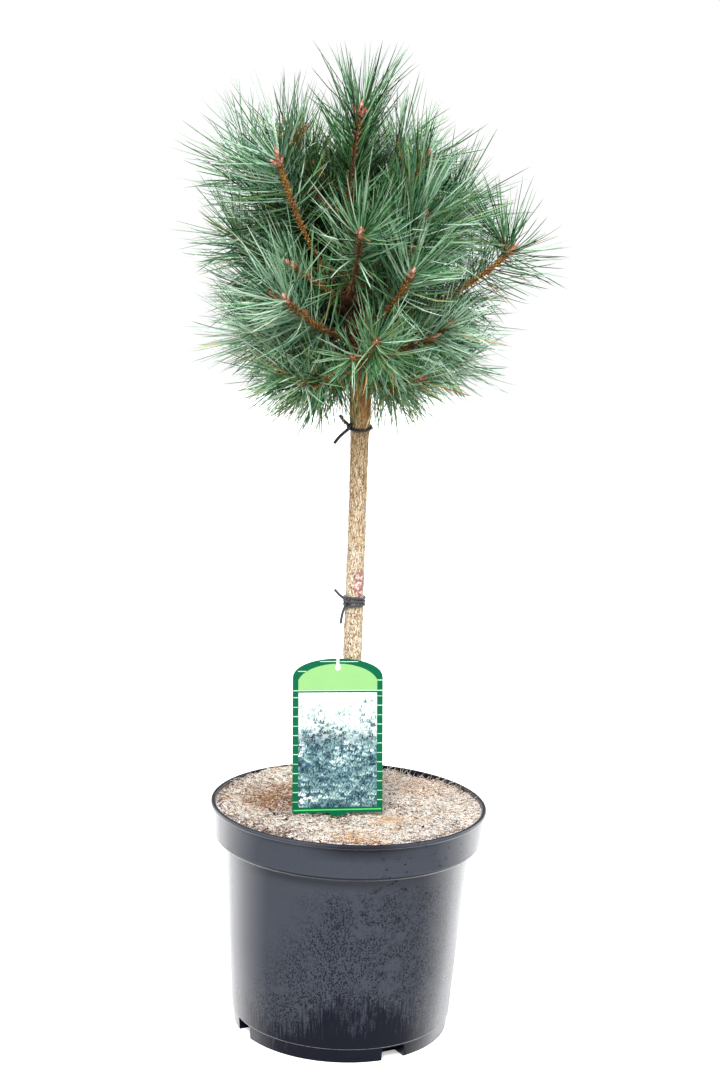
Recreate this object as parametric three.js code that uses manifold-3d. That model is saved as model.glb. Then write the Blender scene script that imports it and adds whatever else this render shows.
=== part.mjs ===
// A dwarf Scots pine, top-grafted on a clear stem and grown in a round nursery pot.
// Millimetres, +Z up. The origin is the centre of the pot's flat underside, and the plant label faces -Y.
// The stem stands on the soil and runs up as the leader. Each side shoot is a bare bough and, 0.3 mm past its
// tip, a shoot in needles: a six-sided core whose facets are drawn out into needles, with a bud at its end.
// Angles are in degrees, and azimuths count from the front (-Y), positive towards +X.
import * as THREE from "three";
import { mergeVertices } from "three/addons/utils/BufferGeometryUtils.js";
import Module from "manifold-3d";

// The clearance between pieces that touch.
const GAP = 0.3;

const pot = {
  height: 205,
  rimRadius: 124,
  rimThickness: 3.2,
  rimRound: 1,
  bandTopRadius: 122,
  bandBottomRadius: 119.6,
  bandBottom: 176.5,
  bodyTopRadius: 109.7,
  bodyTop: 168,
  shoulderRise: 1.6,
  bodyBottomRadius: 99.2,
  footTopRadius: 98,
  footRadius: 97,
  footHeight: 12.5,
  footStep: 0.8,
  wall: 2,
  floor: 4.5,
  facets: 36,
};
const drain = {
  count: 4,
  firstAzimuth: 29.5,
  width: 22,
  height: 11.5,
  depth: 15,
  wall: 2,
  slotWidth: 9,
  slotDepth: 5,
};
const recess = { inner: 26, outer: 74, depth: 2, ribs: 8, ribWidth: 4 };

const soil = {
  level: 200,
  seatRadius: 18,
  rise: 3.2,
  frontRise: 0.5,
  hollow: { x: -66, y: 2, spread: 30, depth: 6 },
  backDip: { x: 64, y: 94, spread: 36, depth: 4.5 },
  edgeDrop: 1,
  edgeInset: 1.6,
  rings: [34, 54, 76, 97, 110],
  facets: 32,
};

// Height, radius and sideways place of the stem, from its flat foot on the soil to the foot of the leader.
const stem = {
  sides: 12,
  stations: [
    { z: 200, r: 13, x: -1 },
    { z: 204, r: 11, x: -1 },
    { z: 212, r: 9.4, x: -1.2 },
    { z: 300, r: 8.6, x: -2 },
    { z: 450, r: 8.2, x: -3.2 },
    { z: 528, r: 8.5, x: -4 },
    { z: 552, r: 9.2, x: -4.4 },
    { z: 590, r: 9, x: -6 },
    { z: 622, r: 7, x: -12 },
    { z: 640, r: 5.2, x: -16 },
    { z: 664, r: 4.4, x: -20 },
    { z: 705, r: 3.2, x: -21.5 },
    { z: 742, r: 2.9, x: -21.8 },
  ],
};
const leader = { foot: 742, tip: 812, tipX: -17.5 };

// Each tie's height, slope down to the front, knot azimuth, and how far each cut end reaches from the knot.
const tieCord = { radius: 1.55, sides: 6, around: 16, slack: 0.55, pitch: 5, knotRadius: 2.7, knotHeight: 4.4 };
const ties = [
  {
    name: "tie_upper",
    z: 543,
    slope: 15,
    turns: 1,
    knotAzimuth: -62,
    ends: [
      { x: -8, z: 8 },
      { x: -12, z: -18 },
    ],
  },
  {
    name: "tie_lower",
    z: 389,
    slope: 0,
    turns: 2,
    knotAzimuth: -54,
    ends: [
      { x: -10, z: 10 },
      { x: -4.5, z: -21 },
    ],
  },
];

const label = {
  width: 80,
  height: 136,
  thickness: 0.8,
  shoulder: 17,
  bottom: 204.5,
  x: -9.6,
  y: -34.5,
  yaw: 6.7,
  leanBack: 9.2,
  leanLeft: 1.2,
  slotWidth: 2.4,
  holeRadius: 2.7,
  holeBelowTop: 9,
  stakeWidth: 13,
  stakeLength: 52,
  stakePoint: 14,
};

// The side shoots: azimuth, reach from the stem's axis, height of the fork on that axis and height of the tip.
// A tier's sag is how far its shoots dip before they turn up.
const tiers = [
  {
    name: "lower",
    footRadius: 3.4,
    sag: 0.12,
    shoots: [
      { azimuth: 8, reach: 104, fork: 597, tip: 624 },
      { azimuth: -59, reach: 84, fork: 582, tip: 592 },
      { azimuth: 46, reach: 76, fork: 580, tip: 592 },
      { azimuth: 95, reach: 96, fork: 588, tip: 604 },
      { azimuth: -82, reach: 100, fork: 602, tip: 626 },
      { azimuth: 142, reach: 98, fork: 594, tip: 606 },
      { azimuth: -148, reach: 98, fork: 590, tip: 600 },
    ],
  },
  {
    name: "middle",
    footRadius: 3.3,
    sag: 0.1,
    shoots: [
      { azimuth: -42, reach: 92, fork: 616, tip: 656 },
      { azimuth: 31, reach: 92, fork: 622, tip: 682 },
      { azimuth: 60, reach: 96, fork: 608, tip: 640 },
      { azimuth: 87, reach: 136, fork: 628, tip: 704 },
      { azimuth: 122, reach: 108, fork: 618, tip: 662 },
      { azimuth: 178, reach: 102, fork: 612, tip: 642 },
      { azimuth: -118, reach: 108, fork: 620, tip: 664 },
    ],
  },
  {
    name: "upper",
    footRadius: 2.9,
    sag: 0.04,
    shoots: [
      { azimuth: -56, reach: 78, fork: 652, tip: 771 },
      { azimuth: 5, reach: 90, fork: 650, tip: 712 },
      { azimuth: -90, reach: 106, fork: 642, tip: 708 },
      { azimuth: 104, reach: 96, fork: 656, tip: 742 },
      { azimuth: 52, reach: 82, fork: 666, tip: 728 },
      { azimuth: 152, reach: 92, fork: 648, tip: 730 },
      { azimuth: -156, reach: 94, fork: 652, tip: 724 },
      { azimuth: -103, reach: 96, fork: 668, tip: 768 },
    ],
  },
  {
    name: "top",
    footRadius: 2.4,
    sag: -0.06,
    shoots: [
      { azimuth: -132, reach: 72, fork: 684, tip: 792 },
      { azimuth: 84, reach: 66, fork: 688, tip: 780 },
      { azimuth: 138, reach: 68, fork: 696, tip: 796 },
      { azimuth: -176, reach: 64, fork: 702, tip: 786 },
    ],
  },
];

const shoot = {
  bendAt: 0.62,
  bendRise: 0.36,
  boughSides: 6,
  boughSteps: 3,
  leastBare: 0.24,
  needledLength: 84,
  coreRadius: 2.5,
  coreSides: 6,
  band: 5.8,
  budLength: 10,
  budRadius: 3.3,
};
const needle = {
  longest: 64,
  fullLength: 55,
  shortest: 15,
  shortening: 0.8,
  footSpread: 72,
  tipSpread: 22,
  spreadCurve: 1.2,
  jitter: 6,
  kept: 0.9,
  halfWidth: 1.25,
  freeFrom: 4,
};

const shootSeed = 31;
const leaderSeed = 7;

const radians = THREE.MathUtils.degToRad;
const wasm = await Module();
wasm.setup();

// A seeded source of numbers from 0 to 1.
function seededRandom(seed) {
  let state = seed;
  return () => {
    state = (state + 0x6d2b79f5) | 0;
    let t = Math.imul(state ^ (state >>> 15), 1 | state);
    t = (t + Math.imul(t ^ (t >>> 7), 61 | t)) ^ t;
    return ((t ^ (t >>> 14)) >>> 0) / 4294967296;
  };
}

// A closed BufferGeometry as a manifold solid, and back.
function toSolid(geometry) {
  const bare = new THREE.BufferGeometry().setAttribute("position", geometry.getAttribute("position"));
  if (geometry.index) bare.setIndex(geometry.index);
  const merged = mergeVertices(bare, 1e-4);
  return new wasm.Manifold(
    new wasm.Mesh({
      numProp: 3,
      vertProperties: merged.attributes.position.array,
      triVerts: new Uint32Array(merged.index.array),
    }),
  );
}

function toGeometry(manifold) {
  const mesh = manifold.getMesh();
  return indexed(mesh.vertProperties, mesh.triVerts);
}

function indexed(positions, faces) {
  return new THREE.BufferGeometry()
    .setAttribute("position", new THREE.BufferAttribute(new Float32Array(positions), 3))
    .setIndex(new THREE.BufferAttribute(new Uint32Array(faces), 1));
}

// A closed skin over rings of points that all hold the same number, with flat ends.
function skinRings(rings) {
  const count = rings[0].length;
  const faces = [];
  for (let i = 0; i + 1 < rings.length; i++) {
    for (let j = 0; j < count; j++) {
      const a = i * count + j;
      const b = i * count + ((j + 1) % count);
      faces.push(a, b, b + count, a, b + count, a + count);
    }
  }
  const last = (rings.length - 1) * count;
  for (let j = 1; j + 1 < count; j++) {
    faces.push(0, j + 1, j);
    faces.push(last, last + j, last + j + 1);
  }
  const positions = rings.flat().flatMap((p) => p.toArray());
  return indexed(positions, faces);
}

// The stem's axis and radius at a height.
function stemAt(z) {
  const stations = stem.stations;
  const above = stations.findIndex((s) => s.z >= z);
  const i = Math.max(1, above);
  const [low, high] = [stations[i - 1], stations[i]];
  const t = (z - low.z) / (high.z - low.z);
  return {
    axis: new THREE.Vector3(THREE.MathUtils.lerp(low.x, high.x, t), 0, z),
    radius: THREE.MathUtils.lerp(low.r, high.r, t),
  };
}

function stemGeometry(swell) {
  const rings = stem.stations.map(({ z, r, x }) =>
    Array.from({ length: stem.sides }, (_, j) => {
      const a = (2 * Math.PI * j) / stem.sides;
      return new THREE.Vector3(x + (r + swell) * Math.cos(a), (r + swell) * Math.sin(a), z);
    }),
  );
  return skinRings(rings);
}

// The way out from the stem at an azimuth.
function outward(azimuth) {
  const a = radians(azimuth);
  return new THREE.Vector3(Math.sin(a), -Math.cos(a), 0);
}

// A side shoot's middle line, from the stem's axis out and then up to its tip.
function shootCurve({ azimuth, reach, fork, tip }, sag) {
  const foot = stemAt(fork).axis;
  const out = outward(azimuth);
  const bendHeight = fork + (tip - fork) * (shoot.bendRise - sag);
  const bend = foot.clone().addScaledVector(out, reach * shoot.bendAt).setZ(bendHeight);
  const end = foot.clone().addScaledVector(out, reach).setZ(tip);
  return new THREE.QuadraticBezierCurve3(foot, bend, end);
}

// A ring of points square to a curve that lies in an upright plane, whose level normal is side.
function ringAt(curve, share, side, radius, sides, turn) {
  const centre = curve.getPointAt(share);
  const along = curve.getTangentAt(share);
  const up = new THREE.Vector3().crossVectors(side, along);
  return Array.from({ length: sides }, (_, j) => {
    const a = (2 * Math.PI * j) / sides + turn;
    return centre
      .clone()
      .addScaledVector(up, radius * Math.cos(a))
      .addScaledVector(side, radius * Math.sin(a));
  });
}

// The tapering bare bough along the first part of a shoot's line.
function boughGeometry(curve, side, bareShare, footRadius) {
  const rings = Array.from({ length: shoot.boughSteps + 1 }, (_, i) => {
    const t = i / shoot.boughSteps;
    const radius = THREE.MathUtils.lerp(footRadius, shoot.coreRadius, t);
    return ringAt(curve, bareShare * t, side, radius, shoot.boughSides, 0);
  });
  return skinRings(rings);
}

// Each shoot's line as short straight pieces, for the test of which shoot a point is nearest to.
function lineOf(curve, steps) {
  const points = curve.getSpacedPoints(steps);
  return points.slice(1).map((p, i) => new THREE.Line3(points[i], p));
}

function distanceTo(pieces, point) {
  const nearest = new THREE.Vector3();
  const distances = pieces.map((piece) => piece.closestPointToPoint(point, true, nearest).distanceTo(point));
  return Math.min(...distances);
}

// A shoot in needles. Every facet of its core may be drawn out into a needle, which keeps to the shoot's own
// space: all the points that lie nearer to this shoot's line than to any other's. The needles lean out at the
// foot of the shoot and close up round the bud at its tip.
function needledGeometry(curve, side, fromShare, own, others, random) {
  const length = curve.getLength() * (1 - fromShare);
  const bands = Math.round((length - shoot.budLength) / shoot.band);
  const coreEnd = 1 - shoot.budLength / curve.getLength();
  const n = shoot.coreSides;
  const rings = Array.from({ length: bands + 1 }, (_, i) => {
    const share = THREE.MathUtils.lerp(fromShare, coreEnd, i / bands);
    const radius = i === bands ? shoot.budRadius : shoot.coreRadius;
    return ringAt(curve, share, side, radius, n, (i * Math.PI) / n);
  });
  const points = rings.flat();
  const budTip = points.push(curve.getPointAt(1)) - 1;
  const faces = [];
  const grown = [];

  // Whether a needle stays in the shoot's space and clear of the needles that have grown already.
  function fits(root, apex) {
    return [0.3, 0.55, 0.8, 1].every((t) => {
      const point = root.clone().lerp(apex, t);
      const room = 2 * (needle.halfWidth * (1 - t) + GAP);
      const home = distanceTo(own, point);
      if (others.some((line) => distanceTo(line, point) < home + room)) return false;
      return grown.every((line) => distanceTo([line], point) > room);
    });
  }

  // The way that a needle grows from its root: out from the shoot's line, leaning towards its tip.
  function growthWay(root, along, centre, spread) {
    const out = root.clone().sub(centre);
    out.addScaledVector(along, -out.dot(along)).normalize();
    const lean = radians(spread + needle.jitter * (2 * random() - 1));
    return out.multiplyScalar(Math.sin(lean)).addScaledVector(along, Math.cos(lean));
  }

  for (let i = 0; i < bands; i++) {
    const share = THREE.MathUtils.lerp(fromShare, coreEnd, (i + 0.5) / bands);
    const centre = curve.getPointAt(share);
    const along = curve.getTangentAt(share);
    const closing = Math.pow((i + 0.5) / bands, needle.spreadCurve);
    const spread = THREE.MathUtils.lerp(needle.footSpread, needle.tipSpread, closing);
    for (let j = 0; j < n; j++) {
      const a = i * n + j;
      const b = i * n + ((j + 1) % n);
      for (const facet of [[a, b, a + n], [b, b + n, a + n]]) {
        const root = new THREE.Vector3();
        facet.forEach((k) => root.addScaledVector(points[k], 1 / 3));
        const way = growthWay(root, along, centre, spread);
        const tipAt = (reach) => root.clone().addScaledVector(way, reach);
        let reach = THREE.MathUtils.lerp(needle.fullLength, needle.longest, random());
        while (reach > needle.shortest && !fits(root, tipAt(reach))) reach *= needle.shortening;
        const grows = random() < needle.kept && i > 0 && reach > needle.shortest;
        if (grows) {
          grown.push(new THREE.Line3(tipAt(needle.freeFrom), tipAt(reach)));
          const apex = points.push(tipAt(reach)) - 1;
          facet.forEach((k, corner) => faces.push(k, facet[(corner + 1) % 3], apex));
        } else {
          faces.push(...facet);
        }
      }
    }
  }
  const last = bands * n;
  for (let j = 1; j + 1 < n; j++) faces.push(0, j + 1, j);
  for (let j = 0; j < n; j++) faces.push(last + j, last + ((j + 1) % n), budTip);
  const positions = points.flatMap((p) => p.toArray());
  return indexed(positions, faces);
}

// The pot: a turned shell with a band under the rim and four drain niches in its foot.
function potSolid() {
  const p = pot;
  const lip = p.height - p.rimThickness;
  const shoulder = new THREE.QuadraticBezierCurve(
    new THREE.Vector2(p.bodyTopRadius, p.bodyTop),
    new THREE.Vector2(p.bandBottomRadius, p.bodyTop + p.shoulderRise),
    new THREE.Vector2(p.bandBottomRadius, p.bandBottom),
  ).getPoints(4);
  const outside = [
    new THREE.Vector2(0, 0),
    new THREE.Vector2(p.footRadius, 0),
    new THREE.Vector2(p.footTopRadius, p.footHeight),
    new THREE.Vector2(p.bodyBottomRadius, p.footHeight + p.footStep),
    ...shoulder,
    new THREE.Vector2(p.bandTopRadius, lip - p.rimRound),
    new THREE.Vector2(p.rimRadius, lip),
    new THREE.Vector2(p.rimRadius, p.height - p.rimRound),
    new THREE.Vector2(p.rimRadius - p.rimRound, p.height),
    new THREE.Vector2(p.bandTopRadius - p.wall + p.rimRound, p.height),
  ];
  return turned([...outside, ...insidePoints(0).reverse()])
    .add(nicheWalls(0))
    .subtract(niches())
    .subtract(recessSolid());
}

// A profile turned round the upright axis.
function turned(profile) {
  return toSolid(new THREE.LatheGeometry(profile, pot.facets).rotateX(Math.PI / 2));
}

// The profile of the pot's inside, from its floor's middle up to the rim, drawn in by a clearance.
function insidePoints(clearance) {
  const p = pot;
  const c = clearance;
  return [
    new THREE.Vector2(0, p.floor + c),
    new THREE.Vector2(p.footRadius - p.wall - c, p.floor + c),
    new THREE.Vector2(p.bodyTopRadius - p.wall - c, p.bodyTop + p.wall),
    new THREE.Vector2(p.bandBottomRadius - 2 * p.wall - c, p.bodyTop + 3 * p.wall),
    new THREE.Vector2(p.bandBottomRadius - p.wall - c, p.bandBottom + p.wall),
    new THREE.Vector2(p.bandTopRadius - p.wall - c, p.height - p.rimRound),
  ];
}

// One box at each drain niche, from an inner to an outer radius and between two heights.
function drainBoxes(width, inner, outer, low, high) {
  return Array.from({ length: drain.count }, (_, i) => {
    const box = new THREE.BoxGeometry(width, outer - inner, high - low);
    box.translate(0, -(inner + outer) / 2, (low + high) / 2);
    box.rotateZ(radians(drain.firstAzimuth + (360 / drain.count) * i));
    return toSolid(box);
  }).reduce((all, one) => all.add(one));
}

// The walls round the niches, let out by a clearance, before the niches are cut out of them.
function nicheWalls(clearance) {
  const t = drain.wall + clearance;
  const inner = pot.footRadius - drain.depth - t;
  return drainBoxes(drain.width + 2 * t, inner, pot.footRadius - drain.wall / 2, 0, drain.height + t);
}

// The niches, open outwards and downwards, and the slot in each one's roof.
function niches() {
  const inner = pot.footRadius - drain.depth;
  const top = drain.height + 2 * drain.wall;
  return drainBoxes(drain.width, inner, pot.rimRadius, -1, drain.height).add(
    drainBoxes(drain.slotWidth, inner + drain.wall, inner + drain.wall + drain.slotDepth, 1, top),
  );
}

// The shallow ring under the floor, crossed by ribs that stand on the ground with the foot.
function recessSolid() {
  const r = recess;
  const ring = turned([
    new THREE.Vector2(r.inner, -1),
    new THREE.Vector2(r.outer, -1),
    new THREE.Vector2(r.outer, r.depth),
    new THREE.Vector2(r.inner, r.depth),
    new THREE.Vector2(r.inner, -1),
  ]);
  return Array.from({ length: r.ribs }, (_, i) => {
    const rib = new THREE.BoxGeometry(r.ribWidth, pot.footRadius, 4 * r.depth);
    rib.translate(0, -pot.footRadius / 2, 0);
    rib.rotateZ((2 * Math.PI * i) / r.ribs);
    return toSolid(rib);
  }).reduce((left, rib) => left.subtract(rib), ring);
}

// The soil's height over the floor of the pot: level round the stem, then up to the edge and most of all to the
// front, with a hollow on the left and a dip along the back right.
function soilHeight(x, y) {
  const s = soil;
  const share = THREE.MathUtils.smoothstep(Math.hypot(x, y), s.seatRadius, 80);
  const [hollow, dip] = [s.hollow, s.backDip].map((low) => {
    const away = (x - low.x) ** 2 + (y - low.y) ** 2;
    return low.depth * Math.exp(-away / (2 * low.spread ** 2));
  });
  const waves = 0.7 * Math.sin(x / 17 + 1) * Math.cos(y / 21) + 0.4 * Math.sin((x + y) / 11);
  return s.level + share * (s.rise + waves - (s.frontRise * y) / 100 - hollow - dip);
}

function soilSolid() {
  const wall = insidePoints(GAP);
  const n = soil.facets;
  const circle = (radius, heightAt) =>
    Array.from({ length: n }, (_, j) => {
      const a = (2 * Math.PI * j) / n;
      const [x, y] = [radius * Math.cos(a), radius * Math.sin(a)];
      return new THREE.Vector3(x, y, heightAt(x, y));
    });
  const shrink = Math.cos(Math.PI / pot.facets);
  const rings = wall.slice(1, -1).map((p) => circle(p.x * shrink, () => p.y));
  const edge = pot.bandTopRadius - pot.wall - soil.edgeInset;
  rings.push(circle(edge, (x, y) => soilHeight(x, y) - soil.edgeDrop));
  [...soil.rings].reverse().forEach((r) => rings.push(circle(r, soilHeight)));
  rings.push(circle(soil.seatRadius, () => soil.level));
  return toSolid(skinRings(rings))
    .subtract(nicheWalls(GAP))
    .subtract(toSolid(labelGeometry(stakeOutline(label.shoulder, GAP), label.thickness + 2 * GAP)));
}

// The label's outline: a card with rounded shoulders, a hanging slot that opens at the top, and the stake that
// holds it in the soil. Its origin is the middle of the card's bottom edge.
function labelShape() {
  const { height, shoulder, holeRadius } = label;
  const w = label.width / 2;
  const slot = label.slotWidth / 2;
  const holeHeight = height - label.holeBelowTop;
  const opening = Math.asin(slot / holeRadius);
  const shape = stakeOutline(0, 0);
  shape.lineTo(w, 0);
  shape.lineTo(w, height - shoulder);
  shape.bezierCurveTo(w, height - shoulder / 3, w / 2, height, slot, height);
  shape.lineTo(slot, holeHeight + holeRadius * Math.cos(opening));
  shape.absarc(0, holeHeight, holeRadius, Math.PI / 2 - opening, opening - 1.5 * Math.PI, true);
  shape.lineTo(-slot, height);
  shape.bezierCurveTo(-w / 2, height, -w, height - shoulder / 3, -w, height - shoulder);
  shape.lineTo(-w, 0);
  return shape;
}

// The pointed stake up to a height, let out by a clearance.
function stakeOutline(top, clearance) {
  const w = label.stakeWidth / 2 + clearance;
  const shape = new THREE.Shape();
  shape.moveTo(-w, top);
  shape.lineTo(-w, label.stakePoint - label.stakeLength);
  shape.lineTo(0, -label.stakeLength - 2 * clearance);
  shape.lineTo(w, label.stakePoint - label.stakeLength);
  shape.lineTo(w, top);
  return shape;
}

function labelGeometry(shape, thickness) {
  const card = new THREE.ExtrudeGeometry(shape, { depth: thickness, bevelEnabled: false, curveSegments: 6 });
  card.translate(0, 0, -thickness / 2).rotateZ(radians(label.leanLeft));
  card.rotateX(Math.PI / 2 - radians(label.leanBack)).rotateZ(radians(label.yaw));
  return card.translate(label.x, label.y, label.bottom);
}

// A stretch of tie cord between two points, with a flat end.
function cordPiece(from, to) {
  const curve = new THREE.LineCurve3(from, to);
  const piece = new THREE.CylinderGeometry(tieCord.radius, tieCord.radius, curve.getLength(), tieCord.sides);
  piece.translate(0, curve.getLength() / 2, 0);
  const turn = new THREE.Quaternion().setFromUnitVectors(new THREE.Vector3(0, 1, 0), curve.getTangent(0));
  return toSolid(piece.applyQuaternion(turn).translate(from.x, from.y, from.z));
}

// A tie: one or two turns of cord round the stem, a knot, and its two cut ends.
function tieSolid(tie) {
  const { axis, radius } = stemAt(tie.z);
  const ring = radius + tieCord.radius + tieCord.slack;
  const turns = Array.from({ length: tie.turns }, (_, i) => {
    const height = tie.z + tieCord.pitch * (i - (tie.turns - 1) / 2);
    const loop = new THREE.TorusGeometry(ring, tieCord.radius, tieCord.sides, tieCord.around);
    return toSolid(loop.rotateX(radians(tie.slope)).translate(axis.x, axis.y, height));
  });
  const knotAt = axis.clone().addScaledVector(outward(tie.knotAzimuth), ring + tieCord.radius / 2);
  const knot = new THREE.IcosahedronGeometry(tieCord.knotRadius, 1);
  knot.scale(1, 1, tieCord.knotHeight / tieCord.knotRadius).translate(...knotAt.toArray());
  const ends = tie.ends.map(({ x, z }) => {
    const start = knotAt.clone().setZ(tie.z + (Math.sign(z) * tieCord.knotHeight) / 3);
    return cordPiece(start, new THREE.Vector3(knotAt.x + x, knotAt.y, tie.z + z));
  });
  return [...turns, toSolid(knot), ...ends].reduce((all, one) => all.add(one));
}

const finish = (color, roughness) => new THREE.MeshStandardMaterial({ color, roughness, metalness: 0 });
const materials = {
  pot: finish(0x2a2c31, 0.42),
  soil: finish(0xa48a74, 0.95),
  bark: finish(0xb59468, 0.85),
  twig: finish(0x9a6238, 0.8),
  needles: finish(0x5d8a78, 0.55),
  tie: finish(0x17171a, 0.5),
  label: finish(0x2c9a58, 0.35),
};

const plant = new THREE.Group();
plant.name = "potted_pine";

function place(name, geometry, material) {
  const mesh = new THREE.Mesh(geometry, material);
  mesh.name = name;
  plant.add(mesh);
}

place("pot", toGeometry(potSolid()), materials.pot);
place("soil", toGeometry(soilSolid()), materials.soil);
place("trunk", stemGeometry(0).translate(0, 0, GAP), materials.bark);
place("plant_label", labelGeometry(labelShape(), label.thickness), materials.label);
ties.forEach((tie) => place(tie.name, toGeometry(tieSolid(tie)), materials.tie));

// Every side shoot with its line, the level normal of the plane it lies in and the share of it that is bare.
const shoots = tiers.flatMap((tier) =>
  tier.shoots.map((row, i) => {
    const curve = shootCurve(row, tier.sag);
    const bareShare = Math.max(shoot.leastBare, 1 - shoot.needledLength / curve.getLength());
    const side = new THREE.Vector3().crossVectors(outward(row.azimuth), new THREE.Vector3(0, 0, 1));
    return { name: tier.name + "_" + (i + 1), footRadius: tier.footRadius, curve, side, bareShare };
  }),
);
const leaderCurve = new THREE.LineCurve3(
  stemAt(leader.foot).axis.setZ(leader.foot + 2 * GAP),
  new THREE.Vector3(leader.tipX, 0, leader.tip + shoot.budLength),
);

// The middle lines that share out the space: the shoots', the stem's with the leader's, and the ties' ends.
const shootLines = shoots.map((s) => lineOf(s.curve, 6));
const stemPoints = stem.stations.map(({ x, z }) => new THREE.Vector3(x, 0, z));
const stemLine = stemPoints.slice(1).map((p, i) => new THREE.Line3(stemPoints[i], p));
const leaderLine = [...stemLine, ...lineOf(leaderCurve, 1)];
const tieLines = ties.map((tie) => {
  const { axis, radius } = stemAt(tie.z);
  const knot = axis.addScaledVector(outward(tie.knotAzimuth), radius + tieCord.knotRadius);
  return tie.ends.map(({ x, z }) => new THREE.Line3(knot, new THREE.Vector3(knot.x + x, knot.y, tie.z + z)));
});

const stemClearance = toSolid(stemGeometry(GAP).translate(0, 0, GAP));
shoots.forEach(({ name, footRadius, curve, side, bareShare }, i) => {
  const bough = toSolid(boughGeometry(curve, side, bareShare, footRadius)).subtract(stemClearance);
  place("bough_" + name, toGeometry(bough), materials.twig);
  const needlesFrom = bareShare + GAP / curve.getLength();
  const others = [...shootLines.filter((_, k) => k !== i), leaderLine, ...tieLines];
  const random = seededRandom(shootSeed + i);
  const needles = needledGeometry(curve, side, needlesFrom, shootLines[i], others, random);
  place("needles_" + name, needles, materials.needles);
});
const leaderNeedles = needledGeometry(
  leaderCurve,
  new THREE.Vector3(0, 1, 0),
  0,
  leaderLine,
  [...shootLines, ...tieLines],
  seededRandom(leaderSeed),
);
place("needles_leader", leaderNeedles, materials.needles);

export default plant;
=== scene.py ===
import math
import bmesh
import bpy
import numpy as np
from mathutils import Matrix, Vector


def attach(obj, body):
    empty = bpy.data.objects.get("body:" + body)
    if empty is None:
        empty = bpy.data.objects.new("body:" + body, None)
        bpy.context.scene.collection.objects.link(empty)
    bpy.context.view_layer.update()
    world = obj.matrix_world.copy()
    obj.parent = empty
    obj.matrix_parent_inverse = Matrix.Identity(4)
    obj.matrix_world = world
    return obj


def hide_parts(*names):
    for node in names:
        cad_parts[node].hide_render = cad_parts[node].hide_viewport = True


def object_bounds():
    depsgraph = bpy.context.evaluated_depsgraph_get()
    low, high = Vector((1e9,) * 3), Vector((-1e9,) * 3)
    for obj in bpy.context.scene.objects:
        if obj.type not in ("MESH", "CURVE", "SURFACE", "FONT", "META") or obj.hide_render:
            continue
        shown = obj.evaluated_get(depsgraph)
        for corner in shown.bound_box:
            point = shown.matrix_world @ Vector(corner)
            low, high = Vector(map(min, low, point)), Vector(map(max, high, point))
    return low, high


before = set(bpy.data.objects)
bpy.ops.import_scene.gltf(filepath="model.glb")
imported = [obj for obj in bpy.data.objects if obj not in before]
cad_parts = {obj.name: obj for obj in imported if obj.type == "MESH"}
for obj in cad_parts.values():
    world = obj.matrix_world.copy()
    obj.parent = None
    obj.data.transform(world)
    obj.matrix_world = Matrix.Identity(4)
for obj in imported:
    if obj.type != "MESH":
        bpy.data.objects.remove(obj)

cad_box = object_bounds()
MM = 0.001
TAU = 2 * math.pi
GOLDEN = math.radians(137.508)
UP = np.array([0.0, 0.0, 1.0])


def lerp(a, b, t):
    return a + (b - a) * t


def unit(v):
    return v / np.maximum(np.linalg.norm(v, axis=-1, keepdims=True), 1e-9)


def cross_unit(a, b):
    return unit(np.cross(a, b))


def run_of(points):
    """How far along a line each of its points is."""
    return np.concatenate([[0], np.cumsum(np.linalg.norm(np.diff(points, axis=0), axis=1))])


def bezier(foot, bend, tip, count):
    foot, bend, tip = (np.array(p, float) for p in (foot, bend, tip))
    t = np.linspace(0, 1, count)[:, None]
    return (1 - t) ** 2 * foot + 2 * t * (1 - t) * bend + t ** 2 * tip


def place(name, data, slot=None):
    """Puts an object in the scene. An object given a slot is a piece of the part and rides on the root."""
    obj = bpy.data.objects.new(name, data)
    bpy.context.scene.collection.objects.link(obj)
    if slot:
        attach(obj, "root")
    return obj


# --- camera
CAMERA = {"at": (0.0, -1.5217, 0.6826), "pitch": 8.938, "roll": 2.453, "focal_px": 1748.5, "frame_px": 1080}
SENSOR_MM = 36


def make_camera():
    data = bpy.data.cameras.new("camera")
    data.sensor_width = SENSOR_MM
    data.lens = SENSOR_MM * CAMERA["focal_px"] / CAMERA["frame_px"]
    data.clip_start, data.clip_end = 0.05, 50
    p, r = math.radians(CAMERA["pitch"]), math.radians(CAMERA["roll"])
    forward = Vector((0, math.cos(p), -math.sin(p)))
    level_right, level_up = Vector((1, 0, 0)), Vector((0, math.sin(p), math.cos(p)))
    right = math.cos(r) * level_right + math.sin(r) * level_up
    up = -math.sin(r) * level_right + math.cos(r) * level_up
    camera = place("camera", data)
    turn = Matrix((right, up, -forward)).transposed().to_4x4()
    camera.matrix_world = Matrix.Translation(CAMERA["at"]) @ turn
    bpy.context.scene.camera = camera


make_camera()


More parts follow.
